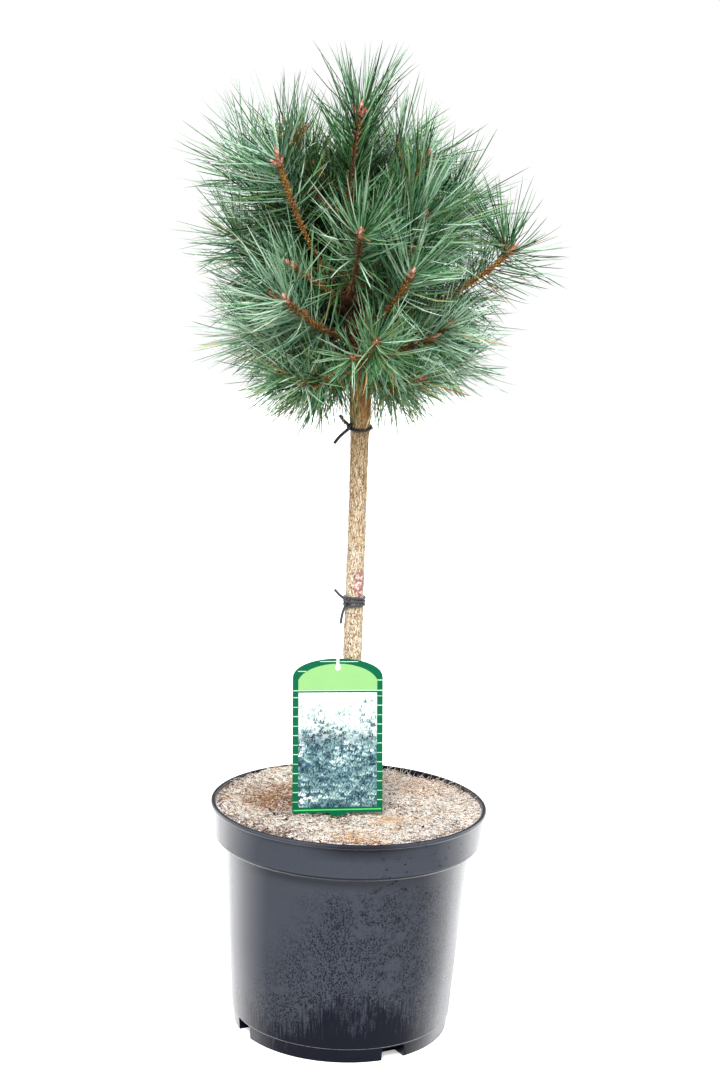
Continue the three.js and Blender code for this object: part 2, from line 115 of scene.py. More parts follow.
# --- mesh helpers, with lengths in millimetres
def new_piece(name, verts, faces, materials, slot, face_material=None, smooth=True):
    """A piece from its points and one or more arrays of triangles or quads."""
    groups = [np.asarray(f, dtype=np.int64) for f in faces if len(f)]
    mesh = bpy.data.meshes.new(name)
    verts = np.asarray(verts, dtype=np.float64) * MM
    loops = np.concatenate([g.ravel() for g in groups])
    sizes = np.concatenate([np.full(len(g), g.shape[1]) for g in groups]).astype(np.int32)
    starts = np.concatenate([[0], np.cumsum(sizes)[:-1]]).astype(np.int32)
    mesh.vertices.add(len(verts))
    mesh.vertices.foreach_set("co", verts.ravel())
    mesh.loops.add(len(loops))
    mesh.loops.foreach_set("vertex_index", loops.astype(np.int32))
    mesh.polygons.add(len(sizes))
    mesh.polygons.foreach_set("loop_start", starts)
    mesh.polygons.foreach_set("loop_total", sizes)
    if face_material is not None:
        mesh.polygons.foreach_set("material_index", np.asarray(face_material, dtype=np.int32))
    mesh.polygons.foreach_set("use_smooth", np.full(len(sizes), smooth))
    mesh.update(calc_edges=True)
    mesh.validate()
    for material in materials:
        mesh.materials.append(material)
    return place(name, mesh, slot)


def ring_faces(rings, sides, inward=False):
    """Quads between rings of points, and the fans that close both ends round the two last points."""
    i, j = np.meshgrid(np.arange(rings - 1), np.arange(sides), indexing="ij")
    a, b = i * sides + j, i * sides + (j + 1) % sides
    quads = np.stack([a, b, b + sides, a + sides], axis=-1).reshape(-1, 4)
    j = np.arange(sides)
    k, top, end = (j + 1) % sides, (rings - 1) * sides, np.full(sides, rings * sides)
    fans = np.concatenate([np.stack([k, j, end], axis=-1), np.stack([top + j, top + k, end + 1], axis=-1)])
    return (quads[:, [0, 3, 2, 1]], fans[:, [1, 0, 2]]) if inward else (quads, fans)


def tube(points, radii, sides, relief=None):
    """A closed tube round a line of points; relief(angle, run) adds to its radius."""
    points = np.asarray(points, float)
    tangents = unit(np.gradient(points, axis=0))
    normal = cross_unit(tangents[0], UP if abs(tangents[0][2]) < 0.9 else np.array([1.0, 0.0, 0.0]))
    normals = np.empty_like(points)
    for i, tangent in enumerate(tangents):
        normal = normal - tangent * np.dot(normal, tangent)
        normal /= np.linalg.norm(normal)
        normals[i] = normal
    angles = np.arange(sides) * TAU / sides
    r = np.repeat(np.broadcast_to(radii, len(points))[:, None], sides, axis=1)
    if relief:
        r = r + relief(angles[None], run_of(points)[:, None])
    ring = np.cos(angles)[None, :, None] * normals[:, None]
    ring = ring + np.sin(angles)[None, :, None] * np.cross(tangents, normals)[:, None]
    verts = (points[:, None] + ring * r[..., None]).reshape(-1, 3)
    return (np.concatenate([verts, points[:1], points[-1:]]), *ring_faces(len(points), sides))


def sleeve(rings):
    """The quads round a small three-sided tube."""
    sides = ((0, 1), (1, 2), (2, 0))
    return [(3 * i + j, 3 * i + j + 3, 3 * i + k + 3, 3 * i + k) for i in range(rings - 1) for j, k in sides]


def copies(count, step, *shapes):
    """The faces of one small shape, repeated for count shapes of step points each."""
    start = (np.arange(count) * step)[:, None, None]
    return [(np.array(faces)[None] + start).reshape(-1, len(faces[0])) for faces in shapes]


class Heap:
    """Many small closed shapes that become one piece."""

    def __init__(self):
        self.verts, self.count = [], 0
        self.faces, self.mats = {4: [], 3: []}, {4: [], 3: []}

    def add(self, verts, quads, triangles=(), material=0):
        self.verts.append(np.asarray(verts).reshape(-1, 3))
        for corners, faces in ((4, quads), (3, triangles)):
            if len(faces):
                self.faces[corners].append(np.asarray(faces) + self.count)
                self.mats[corners].append(np.full(len(faces), material))
        self.count += len(self.verts[-1])

    def piece(self, name, materials, slot, smooth=True):
        faces = [np.concatenate(group) for group in self.faces.values() if group]
        mats = np.concatenate(self.mats[4] + self.mats[3])
        return new_piece(name, np.concatenate(self.verts), faces, materials, slot, mats, smooth)


def value_noise(u, v, cells_u, seed):
    """Smooth noise from 0 to 1 that repeats every cells_u in u."""
    table = np.random.default_rng(seed).random((cells_u, 1024))
    iu, iv = np.floor(u).astype(int), np.floor(v).astype(int)
    fu, fv = u - iu, v - iv
    fu, fv = fu * fu * (3 - 2 * fu), fv * fv * (3 - 2 * fv)
    at = lambda a, b: table[(iu + a) % cells_u, (iv + b) % 1024]
    return lerp(lerp(at(0, 0), at(1, 0), fu), lerp(at(0, 1), at(1, 1), fu), fv)


# --- materials, with colours as red, green and blue from 0 to 255
def srgb(r, g, b):
    return tuple((c / 255 / 12.92) if c <= 10 else ((c / 255 + 0.055) / 1.055) ** 2.4 for c in (r, g, b)) + (1.0,)


def paint(value):
    """Makes a colour linear, and leaves anything else as it is."""
    return srgb(*value) if isinstance(value, tuple) and len(value) == 3 else value


def shade(rgb, *factors):
    """A colour made lighter or darker by one factor, or by one for each of its three parts."""
    return tuple(min(1, c * k) for c, k in zip(srgb(*rgb), factors * (3 // len(factors)))) + (1.0,)


class Field:
    """A value that a node gives. Sums, products and | for the greater one add nodes of their own."""

    def __init__(self, nodes, socket):
        self.nodes, self.socket = nodes, socket

    def __add__(self, other):
        return self.nodes.math("ADD", self, other)

    def __sub__(self, other):
        return self.nodes.math("SUBTRACT", self, other)

    def __mul__(self, other):
        return self.nodes.math("MULTIPLY", self, other)

    def __or__(self, other):
        return self.nodes.math("MAXIMUM", self, other)

    def __abs__(self):
        return self.nodes.math("ABSOLUTE", self)


class Nodes:
    """A short way to write the node tree of a material or the world."""

    def __init__(self, owner, main):
        owner.use_nodes = True
        self.owner, self.tree = owner, owner.node_tree
        self.main = self.tree.nodes[main]

    def put(self, value, socket):
        if isinstance(value, Field):
            self.tree.links.new(value.socket, socket)
        else:
            socket.default_value = value

    def set(self, **sockets):
        for name, value in sockets.items():
            self.put(paint(value), self.main.inputs[name.replace("_", " ")])

    def node(self, kind, output, inputs=(), **settings):
        made = self.tree.nodes.new("ShaderNode" + kind)
        for key, value in settings.items():
            setattr(made, key, value)
        for key, value in dict(inputs).items():
            self.put(value, made.inputs[key])
        return Field(self, made.outputs[output])

    def coords(self, scale, location=(0, 0, 0)):
        inputs = {"Vector": self.node("TexCoord", "Object"), "Location": location, "Scale": scale}
        return self.node("Mapping", "Vector", inputs)

    def noise(self, scale, detail=4, stretch=(1, 1, 1), roughness=0.55):
        inputs = {"Vector": self.coords(stretch), "Scale": scale, "Detail": detail, "Roughness": roughness}
        return self.node("TexNoise", "Fac", inputs)

    def voronoi(self, scale, stretch):
        return self.node("TexVoronoi", "Distance", {"Vector": self.coords(stretch), "Scale": scale})

    def ramp(self, value, *stops):
        """Each stop is its place from 0 to 1 and its red, green and blue."""
        made = self.node("ValToRGB", "Color", {"Fac": value})
        elements = made.socket.node.color_ramp.elements
        while len(elements) < len(stops):
            elements.new(0.5)
        for element, (position, *rgb) in zip(elements, stops):
            element.position, element.color = position, srgb(*rgb)
        return made

    def mask(self, value, low, high):
        """0 at low and 1 at high."""
        return self.node("MapRange", "Result", {"Value": value, "From Min": low, "From Max": high}, clamp=True)

    def band(self, value, low, full_from, full_to, high):
        """1 from full_from to full_to, and 0 below low and above high."""
        return self.mask(value, low, full_from) * self.mask(value, high, full_to)

    def scale(self, value, low, high):
        """From low, where the value is 0, to high, where it is 1."""
        return self.node("MapRange", "Result", {"Value": value, "To Min": low, "To Max": high}, clamp=True)

    def mix(self, factor, a, b):
        return self.node("Mix", 2, {0: factor, 6: paint(a), 7: paint(b)}, data_type="RGBA")

    def math(self, operation, a, b=0.0):
        return self.node("Math", 0, {0: a, 1: b}, operation=operation)

    def xyz(self, space="Object"):
        first = self.node("SeparateXYZ", 0, {0: self.node("TexCoord", space)})
        return [Field(self, socket) for socket in first.socket.node.outputs]

    def distance(self, at, size=(1, 1, 1)):
        """How far off a place is, in lengths of size along each axis."""
        mapped = self.coords([1 / s for s in size], [-a / s for a, s in zip(at, size)])
        return self.node("VectorMath", "Value", {0: mapped}, operation="LENGTH")

    def bump(self, value, strength, distance):
        inputs = {"Height": value, "Strength": strength, "Distance": distance}
        self.set(Normal=self.node("Bump", "Normal", inputs))


def surface(name, colour, roughness, **sockets):
    m = Nodes(bpy.data.materials.new(name), "Principled BSDF")
    m.owner.diffuse_color = paint(colour)
    m.set(Base_Color=colour, Roughness=roughness, **sockets)
    return m


CROWN_MIDDLE, CROWN_AXIS = (-0.014, 0, 0.69), (-0.016, 0, 0)


def needle_material(name, rgb, roughness=0.42):
    m = surface(name, rgb, roughness, Specular_IOR_Level=0.26)
    fine = m.noise(900, 2, (1, 1, 0.35))
    # Painted shade: the needles are painted deeper green towards the middle of the crown, where shade falls inside it.
    outer = m.mask(m.distance(CROWN_MIDDLE), 0.04, 0.115)
    unshaded = m.mix(fine, shade(rgb, 0.86), shade(rgb, 1.12))
    m.set(Base_Color=m.mix(outer, shade(rgb, 0.2, 0.38, 0.17), unshaded),
          Roughness=m.scale(fine, roughness - 0.06, roughness + 0.08))
    return m.owner


# Outer and inner side of the needles of each tint.
TINTS = {
    "blue": ((84, 136, 106), (184, 214, 188)),
    "green": ((58, 112, 60), (136, 180, 132)),
    "deep": ((10, 42, 12), (52, 98, 50)),
    "silver": ((158, 194, 164), (210, 228, 208)),
    "olive": ((98, 126, 66), (150, 174, 112)),
    "dry": ((158, 104, 50), (206, 162, 96)),
}
# The share of each tint but the dry one, for the tones that a spray can have. Some boughs get darker tones where shade
# falls in the crown and brighter ones where it is lit, as painted shade and painted light.
TONES = {
    "pale": (0.37, 0.18, 0.10, 0.33, 0.02), "plain": (0.30, 0.30, 0.22, 0.14, 0.04),
    "green": (0.18, 0.42, 0.28, 0.07, 0.05), "sage": (0.30, 0.33, 0.18, 0.15, 0.04),
    "bright": (0.36, 0.13, 0.05, 0.44, 0.02), "dark": (0.10, 0.36, 0.46, 0.03, 0.05),
    "shade": (0.04, 0.24, 0.66, 0.0, 0.06),
}
tint_materials = {
    name: (needle_material("needle_" + name, outer), needle_material("needle_" + name + "_inner", inner, 0.5))
    for name, (outer, inner) in TINTS.items()
}


def bark_with_painted_shade(m, tone, unshaded, old, shaded):
    """Shoots are bright out in the crown. Near the stem, and on shoots in the crown's shade, their bark is painted
    dark, as painted shade.
    """
    dark = m.ramp(tone, *old)
    if shaded:
        return dark
    return m.mix(m.mask(m.distance(CROWN_AXIS, (1, 1, math.inf)), 0.012, 0.046), dark, m.ramp(tone, *unshaded))


def twig_material(name, shaded=False):
    m = surface(name, (150, 104, 54), 0.8)
    fine = m.noise(1400, 3, (1, 1, 0.6))
    base = bark_with_painted_shade(m, m.noise(260, 5), [(0.3, 56, 32, 9), (0.5, 112, 69, 20), (0.7, 162, 114, 38)],
                [(0.3, 42, 24, 9), (0.7, 90, 54, 22)], shaded)
    m.set(Base_Color=m.mix(m.mask(fine, 0.58, 0.72), base, (54, 34, 18)))
    m.bump(fine, 0.5, 0.0006)
    return m.owner


def peg_material(name, shaded=False):
    m = surface(name, (186, 138, 72), 0.75)
    m.set(Base_Color=bark_with_painted_shade(m, m.noise(180, 3), [(0.3, 150, 97, 28), (0.5, 204, 147, 52), (0.7, 230, 186, 92)],
                          [(0.3, 54, 31, 12), (0.7, 116, 72, 30)], shaded))
    m.bump(m.noise(1800, 2), 0.3, 0.0003)
    return m.owner


def bark_material():
    m = surface("stem_bark", (200, 170, 128), 0.85, Specular_IOR_Level=0.3)
    x, _, z = m.xyz()
    streaks, fine_streaks = m.noise(260, 6, (1, 1, 0.16)), m.noise(1000, 3, (1, 1, 0.14))
    patches, flecks = m.noise(110, 3, (1, 1, 0.5)), m.noise(1500, 2, (1, 1, 0.36))
    pits, blot = m.voronoi(640, (1, 1, 0.5)), m.noise(420, 4)
    # The clear stem, with more rust towards the crown.
    clear = m.ramp(fine_streaks, (0.36, 172, 142, 106), (0.48, 216, 196, 164), (0.6, 240, 228, 208))
    rust = m.ramp(fine_streaks, (0.36, 150, 112, 70), (0.5, 204, 172, 128), (0.62, 236, 214, 178))
    clear = m.mix(m.mask(z + (patches - 0.5) * 0.16, 0.42, 0.52), clear, rust)
    clear = m.mix(m.mask(pits, 0.36, 0.16) * m.mask(patches, 0.34, 0.56), clear, (126, 92, 60))
    clear = m.mix(m.mask(flecks, 0.54, 0.61), clear, (78, 56, 38))
    # Above the graft, speckled on its left.
    upper = m.ramp(streaks, (0.3, 128, 78, 40), (0.5, 184, 128, 76), (0.72, 208, 164, 112))
    upper = m.mix(m.mask(flecks, 0.6, 0.7), upper, (84, 52, 34))
    speckled = m.ramp(fine_streaks, (0.36, 74, 58, 30), (0.5, 158, 134, 84), (0.64, 204, 184, 132))
    upper = m.mix(m.mask(x + (patches - 0.5) * 0.012, -0.0025, -0.0065), upper, speckled)
    # Inside the crown the stem is painted dark brown, as painted shade.
    painted_shade_inside = m.ramp(streaks, (0.36, 28, 15, 8), (0.5, 70, 40, 22), (0.64, 118, 76, 44))
    level = z + (streaks - 0.5) * 0.03
    bark = m.mix(m.mask(level, 0.538, 0.556), clear, upper)
    bark = m.mix(m.mask(level, 0.572, 0.604), bark, painted_shade_inside)
    # The healed pruning scar above the lower tie, with its dried resin.
    near = m.distance((0.0015, -0.0085, 0.405), (0.0052, 0.0052, 0.0125)) + (blot - 0.5) * 1.6
    scar = m.ramp(blot, (0.4, 150, 98, 92), (0.52, 196, 150, 140), (0.6, 238, 230, 224))
    m.set(Base_Color=m.mix(m.mask(near, 1.15, 0.85), bark, scar))
    m.bump(streaks + pits * 1.2, 0.7, 0.0009)
    return m.owner


def bud_material():
    m = surface("bud", (184, 112, 92), 0.55)
    m.set(Base_Color=m.ramp(m.noise(420, 4), (0.34, 146, 74, 52), (0.48, 204, 122, 98), (0.62, 238, 194, 176)))
    m.bump(m.noise(1500, 3), 0.5, 0.0004)
    return m.owner


def sheath_material():
    m = surface("needle_sheath", (126, 96, 60), 0.8)
    m.set(Base_Color=m.mix(m.noise(900, 3), (92, 64, 34), (160, 128, 84)))
    return m.owner


def soil_material():
    m = surface("potting_mix", (186, 158, 138), 0.95, Specular_IOR_Level=0.15)
    grain = m.noise(700, 6, roughness=0.7)
    dry = m.ramp(grain, (0.41, 62, 42, 32), (0.47, 206, 188, 176), (0.55, 253, 250, 246))
    # The mix is darker and browner in and round the hollow at the left.
    hollow_brown = m.ramp(grain, (0.36, 62, 36, 24), (0.5, 146, 104, 74), (0.68, 212, 182, 154))
    near = m.distance((-0.062, 0.016, 0.197), (0.04, 0.04, 0.03)) + (m.noise(34, 4) - 0.5) * 2.2
    m.set(Base_Color=m.mix(m.mask(near, 1.3, 0.5), dry, hollow_brown))
    m.bump(grain, 0.8, 0.0016)
    return m.owner


def fibre_material(name, rgb):
    m = surface(name, rgb, 0.85)
    m.set(Base_Color=m.mix(m.noise(800, 3), shade(rgb, 0.7), shade(rgb, 1.3)))
    return m.owner


def pot_material():
    m = surface("pot_plastic", (44, 47, 54), 0.4, IOR=1.2, Coat_Roughness=0.2, Coat_IOR=1.8)
    x, y, z = m.xyz()
    # The rim's top is worn dull.
    facing = m.node("LayerWeight", "Facing")
    m.set(Coat_Weight=m.mask(facing, 0.34, 0.66) * m.mask(z, 0.2048, 0.2042))
    cloud, drips = m.noise(14, 4), m.noise(620, 3, (1, 1, 0.07))
    grain = m.noise(520, 4, roughness=0.65)
    # A film of dried dust that ends in fine drips towards the foot, lower at both sides than in the middle.
    middle = m.mask(abs(x - 0.03), 0.075, 0.0)
    film = m.mask(z - middle * 0.05 + (drips - 0.5) * 0.1 + (cloud - 0.5) * 0.14, 0.006, 0.036)
    # Small dark spots where drops have dried, thickest at the middle and right, and a wiped place under the rim.
    slope = x - z * 0.5
    drops = m.mask(m.voronoi(540, (1, 1, 0.66)), 0.4, 0.33) | m.mask(m.voronoi(840, (1, 1, 0.7)), 0.43, 0.36)
    where = m.mask(m.noise(60, 5, roughness=0.7), 0.38, 0.5) * m.mask(slope, -0.12, -0.082)
    spots = drops * (where * m.mask(z, 0.164, 0.15))
    blots = m.mask(m.noise(110, 5, (1, 1, 1.6), 0.7), 0.6, 0.64) * m.mask(slope, -0.1, -0.05)
    wiped = m.mask(abs(x - 0.012), 0.05, 0.015) * m.mask(z, 0.188, 0.2)
    dust_and_painted_light = m.mix(grain, (59, 63, 72), (71, 75, 84))
    # Painted light: the body is lighter just under the collar, where the collar's shadow falls.
    dust_and_painted_light = m.mix(m.band(z, 0.15, 0.168, 0.169, 0.1695), dust_and_painted_light, (76, 80, 89))
    base = m.mix(film, m.mix(cloud, (6, 9, 23), (13, 16, 32)), dust_and_painted_light)
    base = m.mix((spots | blots) * 0.9, base, (13, 16, 27))
    # The rim's top is darker, and the inner wall above the soil at the back is painted near black, as painted shade.
    rim = m.mask(z, 0.2046, 0.2049) | m.mask(z, 0.196, 0.1975) * m.mask(y, -0.015, 0.02)
    base = m.mix(rim | wiped * 0.8, base, (14, 16, 25))
    # Painted shade: the shoulder between the body and the collar, which faces down, is painted darker.
    base = m.mix(m.band(z, 0.1695, 0.1703, 0.1746, 0.1752), base, (34, 37, 44))
    # Painted highlight: a thin, broken light line along the crease under the collar and along the step at the foot,
    # where the edges catch the light.
    edge_glints = m.band(z, 0.1692, 0.1695, 0.1701, 0.1704) | m.band(z, 0.0124, 0.0127, 0.0131, 0.0134)
    edge_glints = edge_glints * m.mask(m.noise(330, 3), 0.4, 0.5)
    m.set(Base_Color=m.mix(edge_glints * 0.7, base, (112, 118, 124)),
          Roughness=m.scale(film * 0.5 + grain * 0.4, 0.3, 0.5))
    m.bump(m.noise(30, 3, (1, 1, 0.3)) + grain * 0.12, 0.08, 0.001)
    return m.owner


def cord_material(name, rgb):
    m = surface(name, rgb, 0.42)
    tone = m.noise(500, 3)
    m.set(Base_Color=m.mix(tone, shade(rgb, 0.7), shade(rgb, 1.6)), Roughness=m.scale(tone, 0.32, 0.55))
    m.bump(tone, 0.25, 0.0003)
    return m.owner


def card_material(name, rgb, roughness=0.3):
    m = surface(name, rgb, roughness, IOR=1.3)
    tone = m.noise(90, 3)
    m.set(Base_Color=m.mix(tone, shade(rgb, 0.94), shade(rgb, 1.05)),
          Roughness=m.scale(tone, roughness - 0.04, roughness + 0.08))
    return m.owner


# The second bark of each pair is painted darker, as painted shade.
twig_barks = [twig_material("twig_bark"), twig_material("twig_bark_old", True)]
peg_barks = [peg_material("bark_peg"), peg_material("bark_peg_shaded", True)]

# --- stem, boughs and shoots, as in the part's source
# Height, radius and place to the right of points up the stem.
STATIONS = np.array([
    (200, 13, -1), (204, 11, -1), (212, 9.4, -1.2), (300, 8.5, -2), (450, 7.9, -3.2), (528, 7.9, -4), (552, 9.2, -4.4),
    (590, 9, -6), (622, 7, -12), (640, 5.2, -16), (664, 4.4, -20), (705, 3.2, -21.5), (742, 2.9, -21.8),
], dtype=float)
LEADER = {"from": 690, "foot": 742, "tip": 808, "tip_x": -14.0}
# Each tier's name, radius at the foot, sag and boughs. A bough is its azimuth, reach, height of fork and tip, tone,
# size of needles, how far the needles part to show its bark, their density and its buds.
TIERS = [
    ("lower", 3.4, 0.12, [
        (8, 104, 597, 624, "sage", 0.72, 0, 1, 1),
        (-59, 84, 582, 592, "pale", 0.74, 0, 0.9, 1),
        (46, 76, 580, 592, "sage", 0.7, 0, 0.7, 1),
        (95, 96, 588, 604, "pale", 0.7, 0, 0.66, 1),
        (-82, 100, 602, 626, "bright", 0.82, 0, 1, 1),
        (142, 98, 594, 606, "plain", 0.74, 0, 1, 1),
        (-148, 98, 590, 600, "plain", 0.74, 0, 1, 1),
    ]),
    ("middle", 3.3, 0.1, [
        (-42, 92, 616, 656, "bright", 0.94, 0.78, 1, 1),
        (31, 92, 622, 682, "bright", 0.92, 0.78, 1, 1),
        (60, 96, 608, 640, "pale", 0.76, 0, 0.8, 1),
        (87, 136, 628, 704, "sage", 0.84, 0.86, 0.86, 3),
        (122, 108, 618, 662, "plain", 0.86, 0, 1, 1),
        (178, 102, 612, 642, "plain", 0.94, 0, 1, 1),
        (-118, 108, 620, 664, "plain", 0.84, 0, 1, 1),
    ]),
    ("upper", 2.9, 0.04, [
        (-56, 78, 652, 771, "plain", 1.06, 0.9, 1, 6),
        (5, 90, 650, 712, "pale", 0.92, 0.6, 1, 1),
        (-90, 106, 642, 708, "sage", 0.78, 0, 1, 1),
        (104, 96, 656, 742, "sage", 0.96, 0, 0.9, 1),
        (52, 82, 666, 728, "sage", 1.02, 0, 1, 1),
        (152, 92, 648, 730, "plain", 0.94, 0, 0.8, 1),
        (-156, 94, 652, 724, "dark", 0.94, 0, 1, 1),
        (-103, 96, 668, 768, "sage", 0.94, 0, 1, 1),
    ]),
    ("top", 2.4, -0.06, [
        (-132, 72, 684, 792, "green", 0.76, 0, 0.84, 3),
        (84, 66, 688, 780, "green", 0.74, 0, 1.05, 3),
        (138, 68, 696, 796, "plain", 0.8, 0, 0.8, 1),
        (-176, 64, 702, 786, "plain", 0.94, 0, 0.8, 1),
    ]),
]
BEND_AT, BEND_RISE, NEEDLED, LEAST_BARE, BUD = 0.62, 0.36, 84.0, 0.24, 10.0
NO_SIDE_TWIGS = ("lower_3", "lower_4")


def stem_at(z):
    return np.interp(z, STATIONS[:, 0], STATIONS[:, 2]), np.interp(z, STATIONS[:, 0], STATIONS[:, 1])


def outward(azimuth):
    a = math.radians(azimuth)
    return np.array([math.sin(a), -math.cos(a), 0.0])


class Shoot:
    """A twig with needles: its line, where its needles begin, its radii, and its needles' size and look."""

    def __init__(self, points, needles_from, foot_radius, tip_radius, seed, share=1.0, dry=0.012, tone="plain",
                 lean=(84, 44), parting=0.0, buds=1, density=1.0):
        self.points, self.run = points, run_of(points)
        self.length = self.run[-1]
        self.needles_from, self.radii = needles_from, (foot_radius, tip_radius)
        self.rng = np.random.default_rng(seed)
        self.share, self.dry, self.tone, self.lean = share, dry, tone, lean
        self.parting, self.buds, self.density = parting, buds, density

    def at(self, s):
        return np.stack([np.interp(s, self.run, self.points[:, k]) for k in range(3)], axis=-1)

    def along(self, s):
        return unit(self.at(np.minimum(s + 2, self.length)) - self.at(np.maximum(s - 2, 0)))

    def radius(self, s):
        return lerp(*self.radii, np.clip(s / self.length, 0, 1))


def side_twigs(parent, seed):
    """Two short twigs that leave a shoot part of the way along it and turn up beside it."""
    rng = np.random.default_rng(seed)
    made = []
    for k in range(2):
        s = parent.length * rng.uniform(0.36, 0.62)
        base, along = parent.at(s), parent.along(s)
        level = cross_unit(along, UP)
        turn = math.radians((1 if k % 2 else -1) * rng.uniform(60, 105))
        out = level * math.sin(turn) + np.cross(level, along) * -math.cos(turn)
        reach = rng.uniform(28, 44)
        bend = base + (along * 0.55 + out * 0.62) * reach * 0.6
        line = bezier(base, bend, base + (along * 0.84 + out * 0.54) * reach, 10)
        made.append(Shoot(line, 7.0, 2.2, 1.7, seed * 7 + k, 0.84 * parent.share, parent.dry, parent.tone, parent.lean))
    return made


shoots, named = [], {}
for t, (tier, foot_radius, sag, rows) in enumerate(TIERS):
    for k, (azimuth, reach, fork, tip_z, tone, size, parting, density, clusters) in enumerate(rows):
        foot = np.array([stem_at(fork)[0], 0, fork])
        out = outward(azimuth)
        bend, tip = foot + out * reach * BEND_AT, foot + out * reach
        bend[2], tip[2] = fork + (tip_z - fork) * (BEND_RISE - sag), tip_z
        line = bezier(foot, bend, tip, 40)
        length = run_of(line)[-1]
        bare = max(LEAST_BARE * length, length - NEEDLED)
        name = "%s_%d" % (tier, k + 1)
        needles_from, dry = (bare * 0.5, 0.04) if t == 0 else (bare - 4, 0.012)
        radii = (foot_radius * 0.52, 1.45) if parting else (foot_radius * 0.82, 1.9)
        named[name] = Shoot(line, needles_from, *radii, 100 * t + k, size, dry, tone, (88, 46) if parting else (82, 40),
                            parting, clusters, density)
        shoots.append(named[name])
        if not parting and name not in NO_SIDE_TWIGS:
            shoots += side_twigs(named[name], 1000 + 100 * t + k)
leader_line = [(stem_at(z)[0], 0, z) for z in (LEADER["from"], LEADER["foot"])]
leader_line = np.array(leader_line + [(LEADER["tip_x"], 0, LEADER["tip"] + BUD)])
leader_line = np.stack([np.interp(np.linspace(0, 1, 30), [0, 0.4, 1], axis) for axis in leader_line.T], axis=-1)
named["leader"] = Shoot(leader_line, 4.0, 2.6, 2.1, 7, 0.88, 0.0, "green", (64, 28), 0.4, 9, 0.95)
shoots.append(named["leader"])
# Finer twigs that the boughs don't carry: foot, bend, tip, tone, size of needles, parting and share of dry needles.
TWIGS = [
    ((-17, -2, 650), (-40, -32, 660), (-73, -42, 684), "bright", 0.8, 0.8, 0.02),
    ((-14, -2, 652), (14, -30, 662), (34, -44, 701), "green", 0.8, 0.4, 0.02),
    ((-52, -46, 640), (-74, -52, 644), (-89, -46, 660), "pale", 0.7, 0.3, 0.02),
    ((-12, -4, 610), (24, -40, 606), (60, -46, 628), "plain", 0.78, 0.4, 0.04),
    ((-64, -36, 776), (-68, -40, 786), (-71, -46, 794), "plain", 0.26, 0.0, 1.0),
    ((-8, -4, 602), (-26, -24, 596), (-46, -36, 576), "green", 0.8, 0.0, 0.14),
    ((-4, -4, 600), (14, -20, 592), (26, -36, 576), "pale", 0.64, 0.0, 0.14),
    ((-9, 4, 600), (-34, 16, 592), (-54, 22, 575), "green", 0.76, 0.0, 0.06),
    ((-4, 4, 598), (22, 18, 590), (40, 24, 576), "green", 0.62, 0.0, 0.06),
    ((36, 16, 708), (54, 15, 724), (66, 12, 752), "sage", 0.78, 0.0, 0.02),
]
for k, (foot, bend, tip, tone, share, parting, dry) in enumerate(TWIGS):
    line = bezier(foot, bend, tip, 16)
    radii = (2.9, 2.0) if share > 0.5 else (1.2, 0.8)
    shoots.append(Shoot(line, min(16, run_of(line)[-1] * 0.3), *radii, 5000 + k, share, dry, tone, (84, 46), parting))
    named["twig_%d" % (k + 1)] = shoots[-1]
# A tuft stands up at the tip of the bough on the right.
tuft = bezier((116, -7, 697), (113, -8, 703), (108, -9, 711), 10)
shoots.append(Shoot(tuft, 1.0, 1.4, 1.2, 5100, 0.86, 0.0, "green", (50, 14), density=1.5))
# Short twigs close the crown behind the stem; the shade tone paints their needles deep green, as painted shade.
INNER = {"count": 26, "from": 604, "to": 752}
for k in range(INNER["count"]):
    rng = np.random.default_rng(3000 + k)
    z = lerp(INNER["from"], INNER["to"], (k + rng.uniform(0, 0.8)) / INNER["count"])
    foot = np.array([stem_at(z)[0], 0, z])
    out = outward(lerp(80, 280, (k * 0.618) % 1))
    reach = rng.uniform(34, 52)
    tip = foot + out * reach + np.array([0, 0, rng.uniform(10, 34)])
    line = bezier(foot, foot + out * reach * 0.6, tip, 10)
    shoots.append(Shoot(line, 12.0, 2.0, 1.6, 4000 + k, 0.72, 0.1, "shade"))

# --- needles
PAIRS_PER_MM = 1.9
# The places along a needle where its width is given, and the widths as shares of its own.
NEEDLE_RINGS, NEEDLE_WIDTH = (0.0, 0.2, 0.58, 0.88), (0.7, 1.0, 0.96, 0.6)
CROWN_X, CROWN_FOOT = -14.0, 600
FRONT = unit(np.array([0.0, -1.0, 0.1]))
box_low, box_high = np.array(cad_box[0]) / MM - 2, np.array(cad_box[1]) / MM + 2
parts = {key: [] for key in ("foot", "way", "bow", "inner", "length", "width", "twist", "tint")}
sheaths = {"at": [], "way": [], "size": []}
tint_names = list(TINTS)
DRY, OLIVE, DEEP = (tint_names.index(name) for name in ("dry", "olive", "deep"))
# The share of the needles on the inner side of the bough upper_1 that are painted deep green, as painted shade.
UPPER_1_SHADE = 0.5


def spiral(along, phi):
    """Ways out from a shoot at the angles phi round it."""
    level = cross_unit(along, UP + 1e-3)
    return np.cross(level, along) * np.cos(phi)[:, None] + level * np.sin(phi)[:, None]


